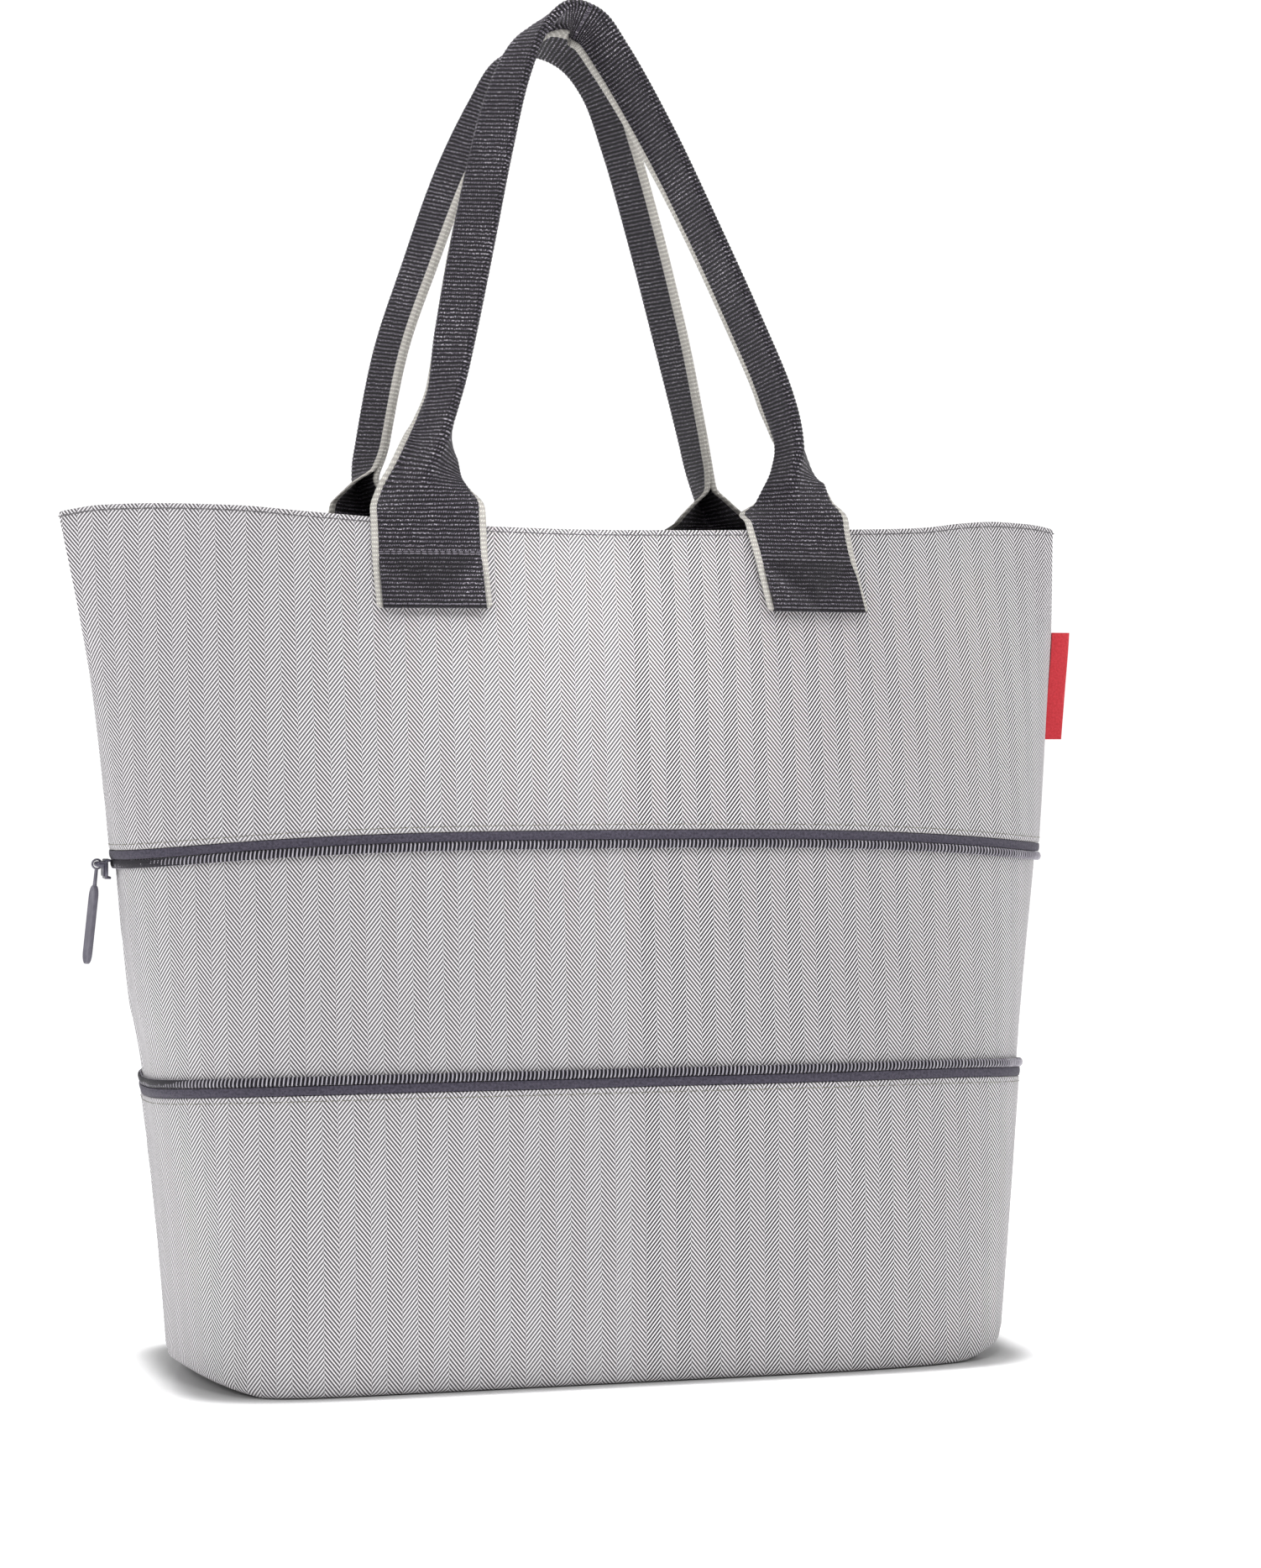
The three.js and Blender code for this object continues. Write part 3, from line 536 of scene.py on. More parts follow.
@dataclass(frozen=True)
class StudioFloor:
    """Smooth white floor with a painted shadow inside a rounded oblong round the bag's footprint, glowing
    outside it so that only a short shadow shows.
    """

    name: str = "studio_floor"
    base: Colour = (0.93, 0.93, 0.935)
    # Painted shadow colour of the floor under and just round the bag.
    shade: Colour = (0.55, 0.55, 0.55)
    reach: tuple[float, float] = (0.198, 0.088)
    squareness: float = 6.0
    near: tuple[float, float] = (0.9, 1.03)
    glow: tuple[float, float] = (0.96, 1.08)
    glow_strength: float = 0.8

    def material(self) -> bpy.types.Material:
        """Builds the material."""
        graph = ShaderGraph(self.name)
        place = graph.place()
        tone = graph.mix(graph.noise(place, 3.0).mask(0.2, 0.8), self.base, scaled(self.base, 1.01))
        across, along = (
            graph.math("POWER", graph.math("ABSOLUTE", number * (1.0 / reach)), self.squareness)
            for number, reach in zip(graph.split(place), self.reach)
        )
        far = graph.math("POWER", across + along, 1.0 / self.squareness)
        # Painted shadow: inside the oblong the floor's colour turns to the shade colour.
        return graph.finish(
            graph.mix(far.mask(*self.near), self.shade, tone), Roughness=0.06, Specular_IOR_Level=0.4,
            Emission_Color=(1.0, 1.0, 1.0, 1.0),
            Emission_Strength=far.mask(*self.glow) * self.glow_strength,
        )


class Palette:
    """Every material of the bag, made once."""

    def __init__(self) -> None:
        """Makes the materials."""
        self.cloth = HerringboneCloth().material()
        self.lining = HerringboneCloth(
            "herringbone_reverse", (0.62, 0.605, 0.615), (0.1, 0.092, 0.095), relief=0.08 * MM,
        ).material()
        # Webbing: dark valleys between ribs as painted shade, pale glints as painted highlights, and a
        # painted shadow over the strap ends.
        self.webbing = RibbedWebbing(
            "ribbed_webbing", (0.002, 0.0015, 0.003), (0.1, 0.085, 0.116), (0.86, 0.81, 0.9), 1.9 * MM, 0.9,
            painted_shadow=0.5,
        ).material()
        # Edging: dark valleys between its ribs as painted shade, pale glints as painted highlights.
        self.edging = RibbedWebbing(
            "woven_edging", (0.42, 0.4, 0.37), (0.74, 0.72, 0.67), (0.86, 0.85, 0.82), 2.0 * MM, 0.5,
        ).material()
        self.tape = TwillTape("zip_tape_twill", (0.03, 0.026, 0.042), (0.12, 0.107, 0.15)).material()
        # Coil core: a real part, made near-black so that it also paints the shade in the gaps between the
        # coil's turns.
        self.coil_core = TwillTape(
            "zip_coil_core", (0.006, 0.005, 0.009), (0.025, 0.022, 0.032),
        ).material()
        self.coil = MouldedFinish(
            "zip_coil_plastic", (0.34, 0.32, 0.37), (0.5, 0.48, 0.53), 0.3,
        ).material()
        self.slider = MouldedFinish(
            "slider_enamel", (0.07, 0.065, 0.09), (0.13, 0.12, 0.155), 0.32, 0.35,
        ).material()
        self.pull = MouldedFinish("pull_rubber", (0.13, 0.123, 0.155), (0.17, 0.16, 0.2), 0.45).material()
        self.label = TwillTape("red_ribbon", (0.62, 0.018, 0.03), (0.8, 0.05, 0.07), 0.5 * MM).material()
        # Rim thread: real stitches, made dark so that they also stand in for the shade of the seam under the
        # rim.
        self.rim_thread = Thread("rim_thread", (0.085, 0.08, 0.088), (0.16, 0.15, 0.16)).material()
        self.seam_thread = Thread("seam_thread", (0.16, 0.155, 0.13), (0.28, 0.27, 0.23)).material()
        self.strap_thread = Thread("strap_thread", (0.11, 0.1, 0.125), (0.22, 0.2, 0.24)).material()


class RepeatTree(Graph):
    """A Geometry Nodes tree that repeats one small shape along the edges of an object."""

    def __init__(self, name: str, numbers: Sequence[str]) -> None:
        """Makes the tree's inputs.

        Args:
            name: The tree's name.
            numbers: The names of its number inputs.
        """
        super().__init__(bpy.data.node_groups.new(name, "GeometryNodeTree"))
        face = self.tree.interface
        kinds = {"Geometry": "Geometry", **dict.fromkeys(numbers, "Float"), "Seed": "Int"}
        kinds["Material"] = "Material"
        for label, kind in kinds.items():
            face.new_socket(label, in_out="INPUT", socket_type=f"NodeSocket{kind}")
        face.new_socket("Geometry", in_out="OUTPUT", socket_type="NodeSocketGeometry")
        self.source = self.tree.nodes.new("NodeGroupInput").outputs

    def number(self, name: str) -> Signal:
        """Gives one of the tree's number inputs."""
        return Signal(self, self.source[name])

    def made(self, kind: str, feeds: dict[str | int, object], **settings: object) -> bpy.types.NodeSocket:
        """Adds a node and gives its first output."""
        return self.node(kind, feeds, **settings).outputs[0]

    def triple(self, x: object, y: object, z: object) -> bpy.types.NodeSocket:
        """Joins three numbers into a vector."""
        return self.made("ShaderNodeCombineXYZ", {0: x, 1: y, 2: z})

    def repeat(self, shape: bpy.types.NodeSocket, axis: str, pivot: str, jitter: float) -> None:
        """Puts the shape along the edges and ends the tree.

        Args:
            shape: The small mesh.
            axis: The shape's axis that follows the edges.
            pivot: The axis that the turn is kept about, or AUTO.
            jitter: How much the shapes differ in size, as a share.
        """
        curve = self.made("GeometryNodeMeshToCurve", {"Mesh": self.source["Geometry"]})
        along = self.node(
            "GeometryNodeCurveToPoints", {"Curve": curve, "Length": self.source["Pitch"]}, mode="LENGTH",
        ).outputs
        turn = self.made(
            "FunctionNodeAlignRotationToVector", {"Vector": along["Tangent"]}, axis=axis, pivot_axis=pivot,
        )
        size = self.made("FunctionNodeRandomValue", {
            0: (1.0 - jitter,) * 3, 1: (1.0 + jitter,) * 3, "Seed": self.source["Seed"],
        }, data_type="FLOAT_VECTOR")
        copies = self.made("GeometryNodeInstanceOnPoints", {
            "Points": along["Points"], "Instance": shape, "Rotation": turn, "Scale": size,
        })
        real = self.made("GeometryNodeRealizeInstances", {"Geometry": copies})
        smooth = self.made("GeometryNodeSetShadeSmooth", {"Geometry": real})
        dressed = self.made("GeometryNodeSetMaterial", {
            "Geometry": smooth, "Material": self.source["Material"],
        })
        self.node("NodeGroupOutput", {0: dressed})

    def apply(self, piece: bpy.types.Object, **values: object) -> bpy.types.Object:
        """Runs the tree on an object and keeps the result as its plain mesh.

        Args:
            piece: The object of plain edges.
            **values: The inputs by name, with underscores for spaces.

        Returns:
            The same object.
        """
        modifier = piece.modifiers.new(self.tree.name, "NODES")
        modifier.node_group = self.tree
        for item in self.tree.interface.items_tree:
            key = item.name.replace(" ", "_")
            if item.in_out == "INPUT" and key in values:
                modifier[item.identifier] = values[key]
        graph = bpy.context.evaluated_depsgraph_get()
        result = bpy.data.meshes.new_from_object(piece.evaluated_get(graph))
        piece.modifiers.clear()
        edges = piece.data
        piece.data = result
        result.name = piece.name
        bpy.data.meshes.remove(edges)
        return piece


class StitchTree(RepeatTree):
    """Rows of stitches: each a short rounded length of thread."""

    def __init__(self) -> None:
        """Builds the tree."""
        super().__init__("stitch_row", ("Pitch", "Length", "Width"))
        bead = self.made("GeometryNodeMeshUVSphere", {"Segments": 6, "Rings": 5, "Radius": 0.5})
        size = self.triple(self.source["Width"], self.source["Width"], self.source["Length"])
        self.repeat(self.made("GeometryNodeTransform", {"Geometry": bead, "Scale": size}), "Z", "AUTO", 0.08)


class CoilTree(RepeatTree):
    """The turns of a coil zip: each a bent wire that bulges outwards, a little slanted."""

    def __init__(self) -> None:
        """Builds the tree."""
        super().__init__("coil_turns", ("Pitch", "Height", "Reach", "Wire", "Slant"))
        half = self.number("Height") * 0.5 - self.number("Wire")
        arc = self.made("GeometryNodeCurveArc", {
            "Resolution": 7, "Radius": half, "Start Angle": -math.pi / 2, "Sweep Angle": math.pi,
        })
        ring = self.made("GeometryNodeCurvePrimitiveCircle", {"Resolution": 6, "Radius": self.source["Wire"]})
        bulge = self.triple(self.math("DIVIDE", self.source["Reach"], half), 1.0, 1.0)
        flat = self.made("GeometryNodeTransform", {
            "Geometry": arc, "Scale": bulge, "Rotation": (math.pi / 2, 0.0, -math.pi / 2),
        })
        wire = self.made("GeometryNodeCurveToMesh", {"Curve": flat, "Profile Curve": ring, "Fill Caps": True})
        slant = self.triple(0.0, self.source["Slant"], 0.0)
        self.repeat(self.made("GeometryNodeTransform", {"Geometry": wire, "Rotation": slant}), "X", "Z", 0.03)


@dataclass
class BagForm:
    """The bag's outer form: plans stacked from the base to the rim, and the heights of the tiers' edges."""

    height: float = 385 * MM
    rim_width: float = 487 * MM
    rim_depth: float = 96 * MM
    base_width: float = 384 * MM
    base_depth: float = 160 * MM
    wall: float = 1.6 * MM
    gap: float = 0.3 * MM
    lower_top: float = 131 * MM
    upper_bottom: float = 245 * MM
    lower_droop: float = 5 * MM
    upper_droop: float = 9 * MM
    tuck: float = 12 * MM
    tape_height: float = 3.6 * MM
    coil_height: float = 4.2 * MM
    edge_radius: float = 2.6 * MM
    end_lift: float = 7.4 * MM
    flat_share: float = 0.84
    slack: tuple[float, float] = (0.9 * MM, 0.5 * MM)
    panel_turn: float = 1.3
    swell: float = 3.6 * MM
    swell_width: float = 75 * MM
    swell_level: float = 325 * MM
    swell_height: float = 45 * MM
    ruffle: float = 0.22 * MM
    ruffle_reach: float = 13 * MM
    foot_place: float = 86 * MM
    foot_reach: float = 36 * MM
    foot_levels: tuple[float, float] = (318 * MM, 345 * MM)
    taut_ends: tuple[float, float] = (0.72, 0.97)
    taut_base: tuple[float, float] = (12 * MM, 50 * MM)
    quarter: int = 56
    gather: float = 1.25
    level_step: float = 2.5 * MM
    sections: Table = Table((
        "level", "left", "right", "closing", "left_fullness", "left_roundness", "right_fullness",
        "right_roundness",
    ), (
        (0.00, 0.055, 0.00, 0.00, 14.0, 1.1, 5.0, 4.0), (0.16, 0.15, 0.13, 0.02, 8.5, 1.5, 4.6, 3.6),
        (0.36, 0.315, 0.31, 0.13, 5.0, 2.3, 4.0, 3.0), (0.44, 0.43, 0.395, 0.21, 4.45, 2.27, 3.75, 2.75),
        (0.62, 0.57, 0.60, 0.42, 3.3, 2.2, 3.2, 2.2),
        (0.80, 0.72, 0.74, 0.68, 2.6, 1.6, 2.6, 1.6), (0.88, 0.82, 0.785, 0.81, 2.3, 1.3, 2.3, 1.3),
        (1.00, 1.00, 0.80, 1.00, 2.0, 1.0, 2.0, 1.0),
    ))
    rim_line: Table = Table(("x", "height"), (
        (-244.0, 387.6), (-226.0, 390.4), (-205.0, 391.0), (-169.0, 390.1), (-138.0, 387.5), (-95.0, 384.0),
        (-54.0, 381.1), (-10.0, 380.3), (40.0, 380.9), (90.0, 382.2), (133.0, 383.6), (157.0, 385.0),
        (181.0, 388.0), (200.0, 389.3), (218.0, 388.9), (243.0, 385.6),
    ))

    def __post_init__(self) -> None:
        """Works out the plans at every level, with their mitres inwards and their arc lengths."""
        self.levels = np.arange(0.0, self.height + self.level_step, self.level_step)
        outlines = np.stack([self.outline(level) for level in self.levels])
        before = unit(outlines - np.roll(outlines, 1, axis=1))
        after = np.roll(before, -1, axis=1)
        first, second = (joined(-way[..., 1], way[..., 0]) for way in (before, after))
        dot = (first * second).sum(-1, keepdims=True)
        self.mitres = (first + second) / (1.0 + dot)
        self.outlines = outlines
        steps = np.linalg.norm(np.roll(outlines, -1, axis=1) - outlines, axis=-1)
        self.arcs = np.concatenate([np.zeros((len(self.levels), 1)), np.cumsum(steps, axis=1)], axis=1)
        self.shares = self.share_of(self.outline(self.height / 2)[:, 0], self.height / 2)
        self.rim_x = self.outline(self.height)[:, 0]

    def section(self, name: str, level: np.ndarray) -> np.ndarray:
        """Reads the section table at heights in metres."""
        return self.sections.read(name, np.clip(np.asarray(level, float) / self.height, 0.0, 1.0))

    def reach(self, x: np.ndarray, level: np.ndarray) -> np.ndarray:
        """Gives the distance from the middle to the side seam on the side that x is on."""
        spread = (self.rim_width - self.base_width) / 2
        left = self.base_width / 2 + spread * self.section("left", level)
        right = self.base_width / 2 + spread * self.section("right", level)
        return np.where(np.asarray(x) < 0, left, right)

    def share_of(self, x: np.ndarray, level: np.ndarray) -> np.ndarray:
        """Gives x as a share of the reach."""
        return np.minimum(np.abs(x) / self.reach(x, level), 1.0)

    def depth(self, level: np.ndarray) -> np.ndarray:
        """Gives half the bag's depth at a height."""
        half = self.base_depth / 2
        return half + (self.rim_depth / 2 - half) * self.section("closing", level)

    def panel_depth(self, x: np.ndarray, level: np.ndarray) -> np.ndarray:
        """Gives how far a broad panel stands from the middle plane."""
        share = self.share_of(x, level)
        fullness, roundness = (np.where(
            np.asarray(x) < 0, self.section(f"left_{name}", level), self.section(f"right_{name}", level),
        ) for name in ("fullness", "roundness"))
        return self.depth(level) * (1.0 - share**fullness) ** (1.0 / roundness)

    def outline(self, level: float) -> np.ndarray:
        """Gives the plan at a height, anticlockwise from the right end, gathered towards both ends."""
        angle = np.linspace(0.0, math.pi / 2, 361)
        quarters = []
        for sign, side in ((1.0, "right"), (-1.0, "left")):
            fullness = float(self.section(f"{side}_fullness", level))
            roundness = float(self.section(f"{side}_roundness", level))
            x = float(self.reach(sign, level)) * np.cos(angle) ** (2.0 / fullness)
            y = float(self.depth(level)) * np.sin(angle) ** (2.0 / roundness)
            x[-1] = 0.0
            lengths = np.concatenate([[0.0], np.cumsum(np.hypot(np.diff(x), np.diff(y)))])
            wanted = lengths[-1] * (np.arange(self.quarter + 1) / self.quarter) ** self.gather
            quarters.append(joined(sign * np.interp(wanted, lengths, x), np.interp(wanted, lengths, y)))
        right, left = quarters
        mirror = np.array([1.0, -1.0])
        return np.concatenate([right[:-1], left[:0:-1], left[:-1] * mirror, right[:0:-1] * mirror])

    def rim(self, _share: np.ndarray) -> np.ndarray:
        """Gives the rim's height at its own points."""
        return self.rim_line.read("height", self.rim_x / MM) * MM

    def upper_edge(self, share: np.ndarray) -> np.ndarray:
        """Gives the height of the upper tier's bottom edge."""
        return self.upper_bottom - self.upper_droop * share**3

    def lower_edge(self, share: np.ndarray) -> np.ndarray:
        """Gives the height of the lower tier's top edge."""
        return self.lower_top - self.lower_droop * share**6

    def drape(self, x: np.ndarray, panel: np.ndarray, level: np.ndarray) -> np.ndarray:
        """Gives how far the soft cloth stands proud of the plain form.

        Args:
            x: Places along the bag.
            panel: The sign of Y there.
            level: Heights.

        Returns:
            Distances outwards, in metres.
        """
        turn = panel * self.panel_turn
        broad, fine = self.slack
        slack = broad * np.sin(x * 21.0 + level * 9.0 + turn) * np.sin(level * 14.0 + 0.8 + turn)
        slack += fine * np.sin(x * 47.0 - level * 23.0 + 2.0 * turn) * np.sin(level * 31.0 + x * 6.0)
        swell = self.swell * np.exp(
            -((x / self.swell_width) ** 2) - ((level - self.swell_level) / self.swell_height) ** 2)
        for zip_level in (self.lower_top, self.upper_bottom):
            near = np.exp(-(((level - zip_level) / self.ruffle_reach) ** 2))
            slack += near * self.ruffle * np.sin(x * 330.0 + 3.0 * np.sin(x * 27.0 + zip_level * 50.0))
        drag = 0.0
        for foot in (-self.foot_place, self.foot_place):
            drag += np.exp(-(((x - foot) / self.foot_reach) ** 2)) * smooth_step(level, *self.foot_levels)
        ends = 1.0 - smooth_step(self.share_of(x, level), *self.taut_ends)
        base = smooth_step(level, *self.taut_base)
        return (slack + swell) * (1.0 - np.clip(drag, 0.0, 1.0)) * ends * base

    def between(self, rows: np.ndarray, heights: np.ndarray, columns: np.ndarray | int) -> np.ndarray:
        """Reads rows that belong to the levels at heights between the levels."""
        place = np.clip(heights, 0.0, self.height) / self.level_step
        low = np.minimum(place.astype(int), len(self.levels) - 2)
        mix = (place - low).reshape(-1, *(1,) * (rows.ndim - 2))
        return rows[low, columns] * (1.0 - mix) + rows[low + 1, columns] * mix

    def half(self, rings: Sequence[np.ndarray], back: bool) -> list[np.ndarray]:
        """Gives the half of every ring on the back panel's side or the front panel's."""
        start = 0 if back else 2 * self.quarter
        return [ring[start:start + 2 * self.quarter + 1] for ring in rings]

    def ring(self, heights: np.ndarray, inset: float) -> np.ndarray:
        """Gives a closed ring of points on the form.

        Args:
            heights: The height of each point.
            inset: How far inside the outer face it lies.

        Returns:
            4 * quarter + 1 points, the last one on the first.
        """
        index = np.arange(4 * self.quarter)
        flat, mitre = (self.between(rows, heights, index) for rows in (self.outlines, self.mitres))
        panel = np.where(index < 2 * self.quarter, 1.0, -1.0)
        proud = self.drape(flat[:, 0], panel, heights)
        flat = flat + mitre * (inset - proud)[:, None]
        self.untangle(flat)
        ring = np.concatenate([flat, heights[:, None]], axis=1)
        return np.concatenate([ring, ring[:1]])

    def untangle(self, flat: np.ndarray) -> None:
        """Draws points that a mitre has pushed past an end's tip back between the tip and the wall."""
        for tip in (0, 2 * self.quarter):
            limit = abs(flat[tip, 0])
            for way in (1, -1):
                steps = 1
                while steps < self.quarter and abs(flat[tip + way * steps, 0]) >= limit - 0.2 * MM * steps:
                    steps += 1
                for k in range(1, steps):
                    flat[tip + way * k] = flat[tip] + (flat[tip + way * steps] - flat[tip]) * k / steps

    def weave_rows(self, rows: Sequence[np.ndarray], back: bool) -> np.ndarray:
        """Gives the cloth's own coordinates for half rings: arc length from the panel's middle, and height.

        Args:
            rows: Half rings of points.
            back: Whether they are the back panel's.

        Returns:
            Rows by columns by 2.
        """
        start = 0 if back else 2 * self.quarter
        columns = np.arange(start, start + 2 * self.quarter + 1)
        result = []
        for row in rows:
            arc, centre = (
                self.between(self.arcs, row[:, 2], place) for place in (columns, start + self.quarter)
            )
            result.append(joined(arc - centre, row[:, 2]))
        return np.stack(result)

    def lift(self, x: np.ndarray) -> np.ndarray:
        """Gives how far the base rises towards its ends."""
        share = self.share_of(x, 0.0)
        return self.end_lift * (np.maximum(share - self.flat_share, 0.0) / (1.0 - self.flat_share)) ** 1.1


@dataclass
class ClothTier:
    """One ring of cloth with an outer face, an inner face and closed edges."""

    form: BagForm
    palette: Palette
    name: str
    node: str
    bottom: HeightRule
    top: HeightRule
    inset: float = 0.0
    row_step: float = 4.5 * MM
    hem: float = 0.0

    def heights(self) -> list[np.ndarray]:
        """Gives the heights of its rows, from the bottom edge to the top edge."""
        low, high = self.bottom(self.form.shares), self.top(self.form.shares)
        count = max(int(float((high - low).max()) / self.row_step), 2)
        return [low + (high - low) * k / count for k in range(count + 1)]

    def fold(self, edge: np.ndarray, sign: float) -> list[np.ndarray]:
        """Gives the rows of a rounded edge between the two faces.

        Args:
            edge: The heights of the edge.
            sign: 1 for an edge on top, -1 for one underneath.

        Returns:
            Rings from the outer face to the inner face.
        """
        radius = self.form.wall / 2
        return [self.form.ring(
            edge - sign * radius * (1.0 - math.sin(angle)), self.inset + radius * (1.0 - math.cos(angle)),
        ) for angle in np.linspace(0.0, math.pi, 7)[1:-1]]

    def build(self) -> bpy.types.Object:
        """Builds the tier and dresses it."""
        form = self.form
        heights = self.heights()
        trim = form.wall / 2
        heights[0] = heights[0] + trim
        heights[-1] = heights[-1] - trim
        outer = [form.ring(height, self.inset) for height in heights]
        inner = [form.ring(height, self.inset + form.wall) for height in heights[::-1]]
        if self.hem:
            inner = self.hemmed(inner)
        over = self.fold(self.top(form.shares), 1.0)
        under = self.fold(self.bottom(form.shares), -1.0)[::-1]
        rows = [*outer, *over, *inner, *under, outer[0]]
        sketch = Sketch()
        for back in (True, False):
            halves = form.half(rows, back)
            weave = form.weave_rows(halves, back)
            split = len(outer) + len(over)
            sketch.grid(np.stack(halves[:split + 1]), weave[:split + 1])
            sketch.grid(np.stack(halves[split:]), weave[split:], 1)
        return self.dressed(sketch)

    def dressed(self, sketch: Sketch) -> bpy.types.Object:
        """Makes the tier's object from its sketch and dresses it."""
        piece = sketch.piece(self.name, (self.palette.cloth, self.palette.lining))
        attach(piece, "bag")
        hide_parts(self.node)
        return piece

    def hemmed(self, inner: list[np.ndarray]) -> list[np.ndarray]:
        """Adds the folded hem's second layer at the top of the inner face."""
        form = self.form
        top = self.top(form.shares)
        layer = self.inset + form.wall + 0.8 * MM
        depths = ((0.05, 0.0), (0.35, 0.0), (0.7, 0.0), (0.97, 0.0), (1.0, 0.35 * MM), (1.01, 0.8 * MM))
        lip = [form.ring(top - form.wall / 2 - depth * self.hem, layer - back) for depth, back in depths]
        rest = [row for row in inner if float(row[0, 2]) < float(lip[-1][0, 2]) - 1.0 * MM]
        return [inner[0], *lip, *rest]


@dataclass
class BaseTier(ClothTier):
    """The lower tier: a wall that turns under at a rounded edge into a flat bottom with lifted ends."""

    turn_steps: int = 7

    def base_row(self, inset: float, height: float, scale: float = 1.0) -> np.ndarray:
        """Gives a ring on the base.

        Args:
            inset: How far inside the outer face it lies.
            height: Its height, before the ends' lift.
            scale: How far it is drawn towards the middle.

        Returns:
            The ring's points.
        """
        form = self.form
        flat = form.outlines[0] + form.mitres[0] * inset
        form.untangle(flat)
        flat = flat * scale
        ring = np.concatenate([flat, (height + form.lift(flat[:, 0]))[:, None]], axis=1)
        return np.concatenate([ring, ring[:1]])

    def bottom_rows(self, inset: float, radius: float, floor: float) -> list[np.ndarray]:
        """Gives the rings of one face of the bottom, from the middle out to the wall."""
        rows = [self.base_row(inset + radius, floor, scale) for scale in (0.0, 0.2, 0.4, 0.6, 0.8, 0.92)]
        return rows + [self.base_row(
            inset + radius * (1.0 - math.sin(angle)), floor + radius * (1.0 - math.cos(angle)),
        ) for angle in np.linspace(0.0, math.pi / 2, self.turn_steps)]

    def build(self) -> bpy.types.Object:
        """Builds the tier and dresses it."""
        form = self.form
        foot = form.edge_radius + form.lift(form.outlines[0][:, 0])
        top = self.top(form.shares) - form.wall / 2
        count = int(float((top - foot).max()) / self.row_step)
        heights = [foot + (top - foot) * k / count for k in range(count + 1)]
        radius, last = form.edge_radius - form.wall, self.turn_steps - 1
        over = [*self.fold(self.top(form.shares), 1.0), form.ring(heights[-1], form.wall)]
        faces = ((0.0, form.edge_radius, 0.0, over), (form.wall, radius, form.wall, []))
        sketch = Sketch()
        for back in (True, False):
            for slot, (inset, arc, floor, lip) in enumerate(faces):
                base = form.half(self.bottom_rows(inset, arc, floor), back)
                rise = [*[form.ring(height, inset) for height in heights[1:]], *lip]
                wall = [*base[-self.turn_steps:], *form.half(rise, back)]
                flat = np.stack(base[:-last])
                sketch.grid(flat, flat[..., :2], slot)
                weave = form.weave_rows(wall, back)
                for k in range(last):
                    weave[k, :, 1] = weave[last, :, 1] - arc * math.pi / 2 * (1.0 - k / last)
                sketch.grid(np.stack(wall), weave, slot)
        return self.dressed(sketch)


